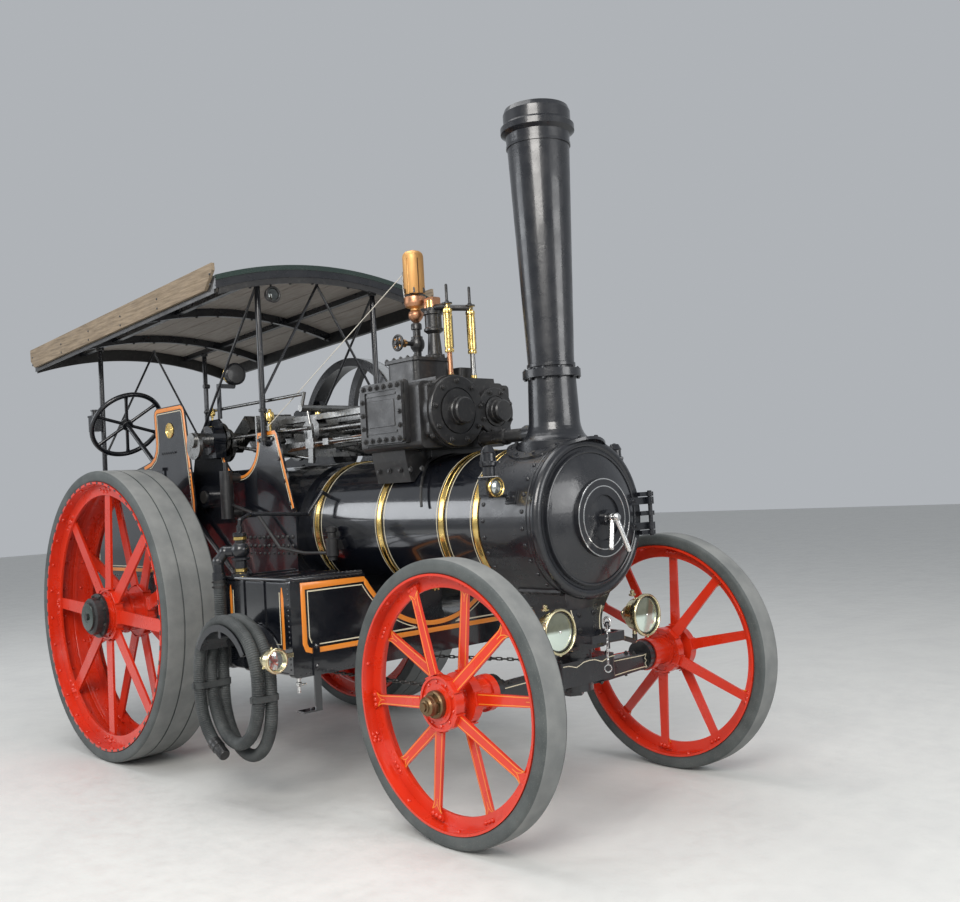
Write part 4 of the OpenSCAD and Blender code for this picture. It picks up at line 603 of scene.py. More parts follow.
def front_wheel(label, side, phases):
    body = "front_wheel_" + label
    spot = wheel_frame(side, *FRONT_WHEEL)
    put = in_frame(spot)
    iron = Piece("front_rivets_" + label, RED, body)
    lines = Piece("front_lining_" + label, ORANGE, body)
    for s, start in zip((1, -1), phases):
        lean = atan2(s * -0.048, 0.527)
        for a in ring_of(5, start):
            spoke = (a, 0.07, s * 0.062, 0.597, s * 0.014)
            out = polar(-sin(lean), a, cos(lean))
            for across in (-0.026, 0.0, 0.026):
                head = spoke_point(*spoke, 0.513, across, s * 0.0072)
                put(iron.rivet, head, out * s, 0.0125)
                put(iron.rivet, (head.x, head.y, -s * 0.0072), (0, 0, -s), 0.012)
            for across, width, line in (
                    (-1, 0.0048, "62 22.5, 200 21.5, 420 19.5, 448 20, 462 22.5, 478 28, 490 34.5"),
                    (1, 0.0048, "62 22.5, 200 21.5, 420 19.5, 448 20, 462 22.5, 478 28, 490 34.5"),
                    (-1, 0.004, "452 0, 464 6, 476 16, 486 30"), (1, 0.004, "452 0, 464 6, 476 16, 486 30"),
                    (1, 0.004, "425 0, 440 0, 452 0")):
                lines.stripe([spot @ spoke_point(*spoke, u, across * v, 0.0071) for u, v in mm(line)],
                             spot.to_3x3() @ out, width, 0.0007)
            hub_pad(iron, spot, a, 0.1322, s * 0.062, (0.027, 0.036))
            for turn in (-0.3, 0.3):
                put(iron.nut, polar(0.107, a + turn, s * 0.078), (0, 0, s), 0.008)
    for k, a in enumerate(ring_of(10, phases[0] - 18)):
        joint = [(shift, z) for shift in (0.028, -0.028) for z in (0.03, 0.056)] if k % 5 == 0 else []
        for shift, z in [(0, -0.046), (0, 0.046)] + joint:
            put(iron.rivet, polar(0.6089, a + shift, z), polar(-1, a), 0.012)
    iron.turn("78 -12, 94 -8, 96 0, 94 8, 78 12", spot, 40)
    cap = Piece("front_cap_rings_" + label, BRONZE, body)
    foot = spot @ Matrix.Translation((0, 0, 0.0923))
    cap.turn("66.2 2, 67.5 6, 67.5 14, 66.2 18", foot, 40)
    cap.turn("47.2 40, 48.6 43, 48.6 50, 46.8 53", foot, 32)
    cap.turn("30 77.5, 30 81, 24 84, 21 84.5", foot, 24)
    circle(cap.nut, foot, 0.055, 0.0302, 6, 20, (0, side, 0), 0.0055)
    tyre("front_rubber_" + label, body, side, FRONT_WHEEL, 0.152, 0.0695)


def rear_wheel(label, side, phases):
    body = "rear_wheel_" + label
    spot = wheel_frame(side, *REAR_WHEEL)
    put = in_frame(spot)
    iron = Piece("rear_rivets_" + label, RED, body)
    for s, start in zip((1, -1), phases):
        for a in ring_of(8, start):
            for r, turn, back in ((0.846, 0.03, 0.1005), (0.873, 0.012, 0.0925)):
                for b in (a - turn, a + turn):
                    put(iron.rivet, polar(r, b, s * 0.124), (0, 0, s), 0.0135)
                    put(iron.rivet, polar(r, b, s * back), (0, 0, -s), 0.011)
            for b in (a - 0.085, a + 0.085):
                put(iron.rivet, polar(0.862, b, s * 0.124), (0, 0, s), 0.012)
            hub_pad(iron, spot, a, 0.1722, s * 0.11, (0.03, 0.05))
            put(iron.nut, polar(0.148, a + 0.2, s * 0.124), (0, 0, s), 0.01)
    for z in (-0.16, -0.06, 0.06, 0.16):
        for a in ring_of(28, 4):
            put(iron.rivet, polar(0.8999, a, z), polar(-1, a), 0.012)
    # The rolled strap that joins the two halves of the rim, and a raised ring round the hub
    iron.turn("900 -34, 895.5 -32, 895 -3, 896.5 0, 895 3, 895.5 32, 900 34", spot, 128)
    iron.turn("128 -12, 140 -8, 142 0, 140 8, 128 12", spot, 40)
    slots = Piece("rear_rim_slots_" + label, SATIN, body)
    for a in ring_of(60, 2):
        slot = (spot @ polar(0.908, a, 0.188), spot.to_3x3() @ Vector(UP), spot.to_3x3() @ polar(1, a))
        slots.slab(rect(0.0065, 0.015), slot, 0.0008, 0.0003)
    foot = spot @ Matrix.Translation((0, 0, 0.1783))
    cap = Piece("rear_cap_bolts_" + label, DARK_STEEL, body)
    circle(cap.bolt, foot, 0.139, 0.019, 8, 22.5, (0, side, 0), 0.0095)
    disc = Piece("rear_cap_disc_" + label, GREEN, body)
    disc.turn("92.5 86.2, 92 88.5, 88 89.2, 40 89.2, 38 87.2, 24 87.2", foot, 48)
    disc.turn("123.5 30, 124.5 34, 121.5 64, 120.5 66", foot, 48)
    tyre("rear_rubber_" + label, body, side, REAR_WHEEL, 0.376, 0.0735, (0.063,))


# The spokes' starting angles in degrees, outer and inner row
front_wheel("left", 1, (-12, -48))
front_wheel("right", -1, (41, 5))
rear_wheel("left", 1, (3, -19.5))
rear_wheel("right", -1, (-3, 19.5))

# Smokebox, door and chimney

BOILER_Z, BOILER_R, SMOKEBOX_R = 1.52, 0.4052, 0.4196
CHIMNEY_X = -0.02


def on_boiler(x, angle, r):
    """A place on the boiler or smokebox, the angle in degrees from the left over the top."""
    return Vector((x, r * cos(radians(angle)), BOILER_Z + r * sin(radians(angle))))


def from_boiler(p):
    return Vector((0, p.y, p.z - BOILER_Z))


def on_saddle(a):
    """A place on the flange where the chimney's foot sits on the smokebox."""
    y = 0.243 * sin(a)
    return Vector((CHIMNEY_X + 0.243 * cos(a), y, BOILER_Z + sqrt(0.4203 ** 2 - y * y)))


barrel = facing((0, 0, BOILER_Z), FRONT)
black = Piece("smokebox_rivets", SATIN)
for x, start in ((0.098, 4), (-0.19, 10)):
    for k in range(30):
        place = on_boiler(x, start + 12 * k, SMOKEBOX_R)
        black.rivet(place, from_boiler(place), 0.0125)
black.sweep([on_boiler(0.176, 20 + 320 * i / 90, 0.398) for i in range(91)], 0.0325, 16)
for r, x in ((0.3755, 0.2005), (0.42, 0.132)):
    black.turn([(r - 0.004, x - 0.003), (r - 0.002, x + 0.001), (r + 0.002, x + 0.001), (r + 0.004, x - 0.003)],
               barrel, 96)
# The saddle flange of the chimney's foot, bolted down round the barrel
black.stripe([on_saddle(a) for a in ring_of(48)], from_boiler, 0.058, 0.012, closed=True)
for a in ring_of(12, 15):
    out = from_boiler(on_saddle(a)).normalized()
    black.nut(on_saddle(a) + out * 0.012, out, 0.0115)
chimney = Matrix.Translation((CHIMNEY_X, 0, 0))
circle(black.bolt, chimney, 0.144, 2.333, 10, 8, UP, 0.01)
circle(black.nut, chimney, 0.144, 2.2885, 10, 8, DOWN, 0.01)
# Riveted seam up the back of the chimney, and the bead round its foot
row(black.rivet, (CHIMNEY_X - 0.126, 0.012, 2.36), (-0.046 / 21, 0, 1.19 / 21), 22, BACK, 0.007)
black.turn("126.5 2346, 133.5 2349, 133.5 2366, 127.5 2369", ((CHIMNEY_X, 0, 0), UP), 64)

straps = Piece("door_hinge_straps", SATIN, "smokebox_door")
for z in (1.45, 1.59):
    row(straps.bolt, (0.2223, 0.3, z), (0, 0.045, 0), 2, FRONT, 0.01)
straps.turn("357 214.3, 356.5 218.5, 350 220.5, 345.5 218.5, 345 214.3", barrel, 96)
rings = Piece("door_rings", SILVER, "smokebox_door")
for r in (0.2035, 0.1655):
    rings.turn([(r - 0.0032, 0.2958), (r - 0.0026, 0.2972), (r + 0.0026, 0.2972), (r + 0.0032, 0.2958)], barrel, 96)
handles = Piece("door_handles", SILVER, "smokebox_door")
for x, reach, tip in ((0.344, -0.052, 0.16), (0.372, 0.058, 0.176)):
    middle = Vector((x, 0, BOILER_Z))
    handle = Vector((0.026, reach, -tip)) * 1.03
    handles.turn("12 -12, 22 -10, 25 0, 22 10, 12 12", (middle, FRONT), 24)
    handles.sweep([middle + handle * t for t in (0, 0.1, 0.2, 0.5, 0.9, 0.97, 1)],
                  lambda t: 0.0128 + 0.0022 * t - (0.004 if t > 0.99 else 0), 14)
handles.turn("16.5 330, 17.5 334, 17.5 388, 15 392, 0 393", barrel, 20)

# The two side lamps: lantern body, crowned top, bail and brass bezel
for label, (side, outward) in zip(("left", "right"), SIDES):
    lamp_at = Vector((0.008, side * 0.5, 1.711))
    body = Piece("side_lamp_body_" + label, SATIN)
    body.slab(rect(0.046, 0.05), (lamp_at + Vector((-0.082, 0, 0)), FRONT, LEFT), 0.07, 0.004)
    body.slab(rect(0.05152, 0.056), (lamp_at + Vector((-0.047, side * 0.004, 0.05)), UP), 0.008, 0.003)
    body.slab(rect(0.03, 0.04), (lamp_at + Vector((-0.048, side * 0.046, 0)), outward, FRONT), 0.005, 0.003)
    top = lamp_at + Vector((-0.036, side * 0.01, 0.034))
    for a in ring_of(9):
        body.turn("10.5 -4, 11.5 2, 9 9, 0 12", (top + polar(0.037, a, 0.092), UP), 8)
    body.sweep([top + Vector((0, side * 0.052 * cos(radians(a)), 0.104 + 0.074 * sin(radians(a))))
                for a in range(-20, 201, 11)], 0.0045, 8)
    plate = on_boiler(0.018, 90 - side * 72, 0.4195)
    out = from_boiler(plate).normalized()
    body.slab(rect(0.036, 0.034), (plate, out, FRONT), 0.01)
    row(body.bolt, plate + out * 0.01 + Vector((-0.018, 0, 0)), (0.036, 0, 0), 2, out, 0.0085)
    bezel = Piece("side_lamp_bezel_" + label, BRASS)
    bezel.turn("43 -22, 47.5 -18, 51.5 -7, 53.5 -3, 53.5 6, 50 10, 45 9, 39 0.5, 37.5 -3", (lamp_at, FRONT), 40)
    lens = Piece("side_lamp_lens_" + label, GLASS)
    lens.turn("39.2 -3.5, 34 2, 24 6.2, 12 8.5, 0 9", (lamp_at, FRONT), 32)

# Boiler lining and cylinders

BANDS = (-0.262, -0.541, -1.1, -1.744)
lines = Piece("boiler_lining", CREAM)
bands = Piece("boiler_band_clips", BRASS)
for x in BANDS:
    for shift in (-1, 1):
        lines.stripe([on_boiler(x + shift * 0.042, a, BOILER_R) for a in range(0, 360, 4)],
                     from_boiler, 0.0045, closed=True)
        bands.sweep([on_boiler(x + shift * 0.0195, a, 0.4102) for a in range(0, 360, 4)], 0.0028, 8, closed=True)
        clip = on_boiler(x, 270 + shift * 2, 0.411)
        bands.slab(rect(0.016, 0.007), (clip, from_boiler(clip), FRONT), 0.012)

cast = Piece("cylinder_bolts", IRON)
LOW_Y, HIGH_Y, CRANK_Z = -0.203, 0.101, 2.16
# Bolts round each cylinder's front cover, left out where the other cover stands over them
for y, other, other_r, r, count, start in ((LOW_Y, HIGH_Y, 0.125, 0.174, 9, 50),
                                           (HIGH_Y, LOW_Y, 0.165, 0.119, 8, 22)):
    for a in ring_of(count, start):
        place = Vector((-0.5722, y + r * cos(a), CRANK_Z + r * sin(a)))
        if hypot(place.y - other, place.z - CRANK_Z) > other_r:
            cast.bolt(place, FRONT, 0.0145)
for y, z in mm("-385 2312, -385 2020, 205 2300, 205 2030, -60 2318"):
    cast.nut((-0.6, y, z), FRONT, 0.012)
# The valve chest's cover on the right, with its raised edges
CHEST_Y = -0.4842
for z in (2.327, 2.019):
    row(cast.bolt, (-1.086, CHEST_Y, z), (0.0632, 0, 0), 6, RIGHT, 0.0135)
for x in (-1.101, -0.759):
    row(cast.bolt, (x, CHEST_Y, 2.095), (0, 0, 0.078), 3, RIGHT, 0.0125)
for z, half, depth, bevel in ((2.282, (0.138, 0.006), 0.007, 0.002), (2.064, (0.138, 0.006), 0.007, 0.002),
                              (2.173, (0.118, 0.078), 0.004, 0.003)):
    cast.slab(rect(*half), ((-0.93, -0.4762, z), RIGHT, FRONT), depth, bevel)
for x, y in mm("-1085 -296, -1015 -298, -950 -298, -885 -298, -820 -296, -1085 -34, -950 -32, -820 -34, "
               "-1088 -165, -816 -165"):
    cast.bolt((x, y, 2.502), UP, 0.011)
for y, out in ((-0.372, RIGHT), (0.329, LEFT)):
    row(cast.nut, (-1.12, y, 1.842), (0.1, 0, 0), 5, out, 0.012)
# The seam of the cladding along the block's side and top
for z in (2.33, 1.99):
    cast.stripe([(-1.19, -0.43, z), (-1.135, -0.4306, z)], RIGHT, 0.01, 0.003)
# Exhaust pipe flanges
for x, out in ((-0.5835, FRONT), (-0.2465, BACK)):
    for a in ring_of(6, 30):
        cast.nut((x, 0.0415 * cos(a), 1.998 + 0.0415 * sin(a)), out, 0.0065)
cast.turn("38.5 0, 47 6, 49 20, 47 34, 38.5 40", ((-0.42, 0, 1.998), FRONT), 32)

# Safety valves: a black cone with its collar, and two spring balances held down by bars
VALVE = Vector((-0.87, -0.095, 2.502))
cast.turn("59.2 0, 59.2 16.8, 45.2 24.8, 35.2 150.5, 59.2 168.4, 59.2 180.5, 51.2 188.8, 51.2 262, 59.2 268.2, "
          "59.2 286.8, 41.2 292.8, 41.2 310", (VALVE, UP), 40)
circle(cast.nut, facing(VALVE, UP), 0.0505, 0.02, 8, 0, UP, 0.0065)
springs = Piece("spring_balance_stems", STEEL)
foot = Piece("spring_balance_foot", COPPER)
brass = Piece("spring_balance_trim", BRASS)
for y, barrel_foot in ((-0.112, foot), (0.072, springs)):
    stem = facing((-0.72, y, 2.362), UP)
    cast.sweep([VALVE + Vector((0, 0, 0.31)), (-0.72, y, 2.8)], 0.0185, 14)
    cast.turn("31 446, 31.2 454.5, 8.5 454.8, 8.5 561, 4.5 567.2, 0 567.6", stem, 16)
    cast.turn("16.8 423.5, 18 428, 18 443, 16.5 446", stem, 6)
    cast.nut(stem @ Vector((0, 0, 0.4545)), UP, 0.013)
    barrel_foot.turn("18.5 4, 18.5 30, 16.5 50, 14.8 159.8", stem, 20)
    brass.turn("22 186, 26.2 188, 26.2 384, 22 386", stem, 32)
    brass.turn("25.5 160, 27.2 164, 27.2 178, 24.5 182", stem, 28)
    brass.turn("25.5 378, 27.2 382, 27.2 388, 24.5 392", stem, 28)
    for k in range(7):
        z = 0.2 + 0.025 * k
        brass.turn([(0.0258, z), (0.0268, z + 0.0015), (0.0258, z + 0.003)], stem, 28)
    brass.turn("27.2 395.5, 28.4 399, 28.4 413, 27.2 416.5", stem, 6)
    springs.slab(rect(0.003, 0.095), (stem @ Vector((0.0252, -0.007, 0.28)), (0.92, -0.38, 0), LEFT), 0.0022, 0.0006)
copper = Piece("safety_valve_cap", COPPER)
copper.slab(rect(0.04, 0.03), (VALVE + Vector((0, 0, 0.3115)), UP, FRONT), 0.06, 0.006)

# Whistle: black globe valve below with its hand wheel, dark mouths round the bell
blow = facing((-1.0, -0.12, 2.502), UP)
gate = Piece("whistle_valve", IRON)
gate.turn("41.2 0, 41.2 14.8, 23.2 18.8, 23.2 59.5, 31.2 63.5, 31.8 70, 40 80, 44 94, 44.8 106, 44 118, 40 132, "
          "35.2 133.5, 35.2 150.8, 24 153, 24 192, 33 196, 33 224, 29 232, 16.5 238.5", blow, 32)
circle(gate.nut, blow, 0.0335, 0.0148, 6, 10, UP, 0.0055)
wheel_at = Vector((-1.0, -0.272, 2.608))
gate.torus(wheel_at, LEFT, 0.0445, 0.0078, 32, 10)
for a in ring_of(4):
    gate.sweep([wheel_at, wheel_at + Vector((0.042 * cos(a), 0, 0.042 * sin(a)))], 0.0062, 8)
gate.sweep([wheel_at + Vector((0, 0.117, 0)), wheel_at + Vector((0, 0.01, 0))], 0.0142, 14)
gate.turn("23.2 -10, 24.2 -6, 24.2 6, 23.2 10", (wheel_at + Vector((0, 0.048, 0)), LEFT), 6)
gate.nut(wheel_at + Vector((0, -0.009, 0)), RIGHT, 0.014)
gate.turn("18.5 -9, 20 -5, 20 8, 14 12, 0 13", (wheel_at, RIGHT), 24)
gate.turn("30 409.5, 58.8 410, 58.8 640, 30 641", blow, 40)
bell = Piece("whistle_bell_trim", WHISTLE)
bell.turn("64.2 625, 64 645, 59 660, 47 672, 26 679, 0 681", blow, 40)
for a in ring_of(6, 30):
    mouth = mm("-12.5 0, 12.5 0, 12.5 20, 8.5 30, 0 34, -8.5 30, -12.5 20")
    gate.slab(mouth, (blow @ polar(0.0632, a, 0.4125), polar(1, a), polar(1, a + pi / 2)), 0.0022, 0.0008)
    turns = [a + radians(-26.5 + 53 * i / 8) for i in range(9)]
    bell.skin([polar(r, b, z) for z, outer in ((0.412, 0.0628), (0.4145, 0.064), (0.634, 0.064))
               for r, way in ((outer, turns), (0.0585, turns[::-1])) for b in way], 18, blow)
bowl = Piece("whistle_bowl_trim", COPPER)
bowl.turn("58.5 334, 66.8 351.5, 67.5 356, 67.5 388, 66.8 392.5, 56 396.8", blow, 40)
bowl.turn("16.5 238, 28.8 249.2, 42.8 267.5, 47 284, 42.8 300.5, 31 311", blow, 32)

# Belly tank: lining, rivets, lamp and drain tap

TANK_SIDE, TANK_ENDS = 1.05, ((-1.1, 1, FRONT), (-1.84, -1, BACK))
orange = Piece("tank_orange_lining", ORANGE)
cream = Piece("tank_cream_lining", CREAM)
tank = Piece("tank_rivets", GLOSS)
for side, out in SIDES:
    for piece, top, low, edge, r, width in ((orange, 1.221, 0.858, 0.967, 0.618, 0.03),
                                            (cream, 1.19, 0.89, 0.936, 0.648, 0.006)):
        # The lining of the front and the back follows the hollow that holds the boiler
        angles = [degrees(asin(max(-1.0, (z - BOILER_Z) / r))) for z in (top, low)]
        for x, way, forth in TANK_ENDS:
            arc = arc_points((x, 0, BOILER_Z), r, *angles, 28, out)
            outline = [(edge - 0.045, low), (edge - 0.013, low + 0.012), (edge, low + 0.045), (edge, top)]
            foot = [(x, 0.0, low)] if piece is orange else []
            piece.stripe(foot + [(x, side * y, z) for y, z in outline] + arc, forth, width, closed=piece is cream)
    wall, strap = side * (TANK_SIDE - 0.0078), side * (TANK_SIDE + 0.0002)
    for x in (-1.195, -1.75):
        orange.stripe([(x, wall, 0.874), (x, wall, 1.165)], out, 0.026)
        orange.slab(mm("-13 0, 13 0, 3 55, -3 55"), ((x, wall, 1.164), out, (-side, 0, 0)), 0.0012, 0.0004)
    # The cream line steps over the two straps
    steps = [(x, y, 0.9) for x, y in (
        (-1.221, wall), (-1.368, wall), (-1.3695, strap), (-1.4005, strap), (-1.402, wall),
        (-1.588, wall), (-1.5895, strap), (-1.6205, strap), (-1.622, wall), (-1.724, wall))]
    cream.stripe([(-1.221, wall, 1.192)] + steps + [(-1.724, wall, 1.192)], out, 0.006)
    for x in (-1.123, -1.817):
        row(tank.rivet, (x, side * 1.0498, 0.77), (0, 0, 0.0295), 17, out, 0.0065)
    for x, way, forth in TANK_ENDS:
        row(tank.rivet, (x, side * 0.58, 1.2535), (0, side * 0.0295, 0), 16, forth, 0.006)
        row(tank.rivet, (x, side * 0.56, 0.7375), (0, side * 0.0295, 0), 16, forth, 0.006)
    row(tank.rivet, (-1.127, side * 0.58, 1.27), (0, side * 0.0295, 0), 16, UP, 0.0092)
    row(tank.rivet, (-1.15, side * 1.02, 1.262), (-0.028, 0, 0), 24, UP, 0.007)
    # The rolled bead along the tank's top edges
    tank.sweep([(x, side * y, z) for x, y, z in mm(
        "-1104 556 1263.5, -1104 1020 1263.5, -1110 1038 1263.5, -1125 1045.5 1261.5, -1830 1045.5 1261.5")],
        0.0115, 12)
    row(tank.bolt, (-1.09, side * 0.9, 0.772), (0, 0, 0.112), 2, FRONT, 0.011)
    row(tank.nut, (-1.125, side * 0.87, 0.534), (0, side * 0.06, 0), 2, UP, 0.007)
# Filler lid and lifting eye on the left half of the tank's top
FILLER = Vector((-1.52, 0.82, 1.262))
tank.turn("85 0, 85 22, 78 30, 20 34, 20 46, 0 50", (FILLER, UP), 40)
tank.torus(FILLER + Vector((0, 0, 0.05)), FRONT, 0.024, 0.006, 24, 8)
circle(tank.bolt, Matrix.Translation(FILLER), 0.068, 0.026, 6, 0, UP, 0.008)
lamp = Vector((-0.994, -1.224, 0.856))
bezel = Piece("tank_lamp_bezel", PALE_BRASS)
bezel.torus(lamp + Vector((0.0115, 0, 0)), FRONT, 0.059, 0.0072, 48, 12)
bezel.turn("24 -117, 24 -124, 17 -130, 0 -132", (lamp, FRONT), 24)
for a in ring_of(3, 90):
    out = Vector((0, cos(a), sin(a)))
    bezel.bolt(lamp + Vector((-0.04, 0, 0)) + out * 0.0625, out, 0.006)
glass = Piece("tank_lamp_glass", GLASS)
glass.turn("56 -1, 55.5 0.5, 34 5.5, 12 7.8, 0 8", (lamp, FRONT), 48)
tap = Piece("tank_drain_tap", SILVER)
spot = Vector((-1.13, -1.0, 0.722))
tap.turn("19 0, 19 8, 11 10, 11 24, 16.5 30, 16.5 46, 10 52, 10 78, 12.5 80, 12.5 86, 7 86, 7 78", (spot, DOWN), 20)
plug = spot + Vector((0.03, 0, -0.038))
tap.sweep([spot + Vector((0, 0, -0.038)), plug], 0.0062, 10)
tap.sweep([plug + Vector((0, -0.026, 0)), plug + Vector((0, 0.026, 0))],
          lambda t: 0.0045 + 0.002 * abs(2 * t - 1), 10)

# Headlamps, tow loop, perch and front axle


def links(piece, start, end, pitch=0.046, width=0.024, wire=0.0046):
    """A straight chain of oval links, each turned a quarter to the last."""
    start, end = Vector(start), Vector(end)
    along = (end - start).normalized()
    side = (Vector(LEFT) - along * along.dot(Vector(LEFT))).normalized()
    over = along.cross(side)
    count = max(2, round((end - start).length / pitch))
    pitch = (end - start).length / count
    half, r = pitch / 2 + wire * 1.85 - width / 2, width / 2 - wire
    for k in range(count):
        middle = start + along * pitch * (k + 0.5)
        across = side if k % 2 else over
        piece.sweep([middle + along * (r * cos(a) + (half if cos(a) > 0 else -half)) + across * r * sin(a)
                     for a in ring_of(16, -78.75)], wire, 6, closed=True)


rims = Piece("headlamp_rims", PALE_BRASS)
dark = Piece("headlamp_inner_rims", IRON)
glass = Piece("headlamp_glass", HEAD_GLASS)
bulb = Piece("headlamp_bulbs", SILVER)
stand = Piece("headlamp_stands", IRON)
for side, out in SIDES:
    lens = facing((0.248, side * 0.352, 0.967), FRONT)
    glass.turn("102 0.2, 96 1.6, 60 7.8, 30 10, 0 10.8", lens, 64)
    dark.turn("93.5 1.5, 96.5 4.8, 100 4.8, 102.5 0.8", lens, 64)
    bulb.turn("8.5 9, 7.5 12.5, 4 15, 0 15.8", lens, 20)
    stand.sweep([(x, side * y, z) for x, y, z in mm(
        "164 352 858, 164 352 824, 164 343 819, 164 250 851, 148.5 122 851")], 0.0136, 14)
    stand.slab(rect(0.026, 0.022), ((0.1485, side * 0.12, 0.851), FRONT, LEFT), 0.004)
    rims.torus(lens @ Vector((0, 0, 0.0128)), FRONT, 0.109, 0.0058, 64, 12)
    rims.torus(lens @ Vector((0, 0, -0.135)), FRONT, 0.033, 0.0055, 40, 10)
    for a in ring_of(3, 60):
        rims.nut(lens @ polar(0.115, a, 0.004), lens.to_3x3() @ polar(1, a), 0.007)
    rims.turn("12 0, 20 4, 20 12, 12 16, 12 30, 6 36, 0 37", ((0.164, side * 0.352, 1.066), UP), 20)

tow = Piece("tow_pin_chain", SILVER)
tow.torus((0.268, 0, 0.976), LEFT, 0.0215, 0.0058, 28, 10)
tow.turn("17.2 0, 18.6 3, 18.6 10, 17.2 13", ((0.268, 0, 0.9235), UP), 24)
links(tow, (0.276, -0.014, 0.958), (0.283, -0.03, 0.76), 0.0215, 0.0145, 0.0026)
tow.torus((0.2835, -0.031, 0.738), (0.85, -0.5, 0.1), 0.019, 0.0034, 28, 8)

perch = Piece("perch_bolts", IRON)
axle = Piece("axle_collars", IRON, "front_axle")
lining = Piece("axle_cream_lining", CREAM, "front_axle")
orange = Piece("perch_lining", ORANGE)
cream = Piece("perch_cream_line", CREAM)
for side, out in SIDES:
    for x, z in ((0.035, 0.845), (-0.06, 0.845), (0.08, 0.918)):
        perch.bolt((x, side * 0.1295, z), out, 0.01)
    row(perch.bolt, (0.1302, side * 0.06, 0.93), (0, 0, 0.08), 2, FRONT, 0.012)
    for x in (0.055, -0.055):
        perch.bolt((x, side * 0.085, 0.62), DOWN, 0.013)
        perch.bolt((x, side * 0.175, 0.6195), DOWN, 0.013)
    row(perch.bolt, (0.095, side * 0.19, 0.7738), (-0.19, 0, 0), 2, UP, 0.012)
    # Saddle flange of the perch below the smokebox
    slope = (0, side * 0.5, -0.85)
    flange_z = BOILER_Z - sqrt(0.4215 ** 2 - 0.196 ** 2)
    perch.stripe([(x, side * 0.196, flange_z) for x in (-0.165, 0.15)], slope, 0.036, 0.014)
    row(perch.nut, (-0.145, side * 0.2, 1.1385), (0.055, 0, 0), 6, slope, 0.009)
    axle.turn("40 0, 60 3, 60 22, 40 26", ((0, side * 0.603, 0.691), out), 40)
    row(axle.bolt, (-0.028, side * 0.5, 0.7145), (0.056, 0, 0), 2, UP, 0.011)
    axle.bolt((0, side * 0.455, 0.6215), DOWN, 0.015)
    axle.sweep([(0, side * 0.455, 0.64), (0, side * 0.455, 0.595)], 0.008, 12)
    for x, forth in ((0.05, FRONT), (-0.05, BACK)):
        lining.stripe([(x, side * y, z) for y, z in mm(
            "252 707.5, 420 704, 560 701, 578 705, 593 712, 578 696, 570 682, 584 668, 570 654, 578 640, 593 626, "
            "578 631, 560 635, 420 633, 252 626.5")], forth, 0.005)
    orange.stripe([(0.112, side * 0.1902, z) for z in (1.225, 1.135)], out, 0.014)
    cream.stripe([(0.094, side * 0.1902, z) for z in (1.225, 1.135)], out, 0.005)
    cream.stripe([(0.1302, side * y, z) for y, z in mm("112 880, 100 930, 104 985, 124 1045, 150 1085")],
                 FRONT, 0.0055)
for x, forth in ((0.13, FRONT), (-0.13, BACK)):
    lining.stripe([(x, y, z) for y, z in mm(
        "-208 758, -165 757, -130 748, -105 741, -80 748, -45 760, 0 763, 45 760, 80 748, 105 741, 130 748, "
        "165 757, 208 758")], forth, 0.005)

# The steering chains: real links in place of the plain CAD bars, with a screw that takes up the slack
chain = Piece("steering_chain_links", DARK_STEEL, None)
for side in (1, -1):
    front = Vector((-0.066, side * 0.519, 0.6475))
    back = Vector((-1.975, side * 0.33, 0.5877))
    screw, screw_end = back.lerp(front, 0.42), back.lerp(front, 0.495)
    links(chain, back, screw)
    links(chain, screw_end, front)
    chain.sweep([screw, screw_end], 0.0085, 12)
    chain.turn("14.5 0, 16 3, 16 36, 14.5 39", (back.lerp(front, 0.45), front - back), 6)
    chain.torus(front + Vector((0.01, 0, 0)), LEFT, 0.015, 0.005, 20, 8)
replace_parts(chain.build(), "steering_chains")
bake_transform(chain.object)

# Hornplates, side plates, oilers and the pressure gauge

orange = Piece("plate_orange_lining", ORANGE)
cream = Piece("plate_cream_lining", CREAM)
black = Piece("plate_rivets", GLOSS)
iron = Piece("firebox_stays", IRON)
badge = Piece("side_plate_badge", BRASS)
oilers = Piece("bearing_oilers", BRASS)
HORN_Y, SHEET_Y = 0.4642, 0.6202
for (side, out), end in zip(SIDES, (-96, -168)):
    # The lining runs up the front edge, along the top and round the hollow for the crankshaft
    edge = mm("-1909 1655, -2078 2150, -2100 2172, -2325 2172")
    edge += [(-2.56 + 0.235 * cos(radians(a)), 2.13 + 0.235 * sin(radians(a))) for a in range(0, end - 1, -6)]
    way = -1 if inward(edge, 0.01)[0].x < edge[0][0] else 1
    for piece, inset, width in ((orange, -0.014, 0.02), (cream, -0.032, 0.005)):
        piece.stripe([(p.x, side * HORN_Y, p.y) for p in inward(edge, inset * way)], out, width)
    for z, size in ((1.466, 0.014), (1.408, 0.014), (1.357, 0.0095)):
        row(iron.rivet, (-1.945, side * HORN_Y, z), (-0.058, 0, 0), 11, out, size)
    for x, z in mm("-2125 2118, -2210 2118, -2295 2118, -2060 1980, -2010 1830, -1960 1680"):
        black.nut((x, side * HORN_Y, z), out, 0.012)
    oilers.turn("6.8 0, 6.8 20, 12 24, 12 31, 21 36, 22.8 42, 22.8 70, 20 76, 10 80, 10 88, 4.5 94, 0 95",
                ((-2.925, side * 0.457, 2.308), UP), 28)
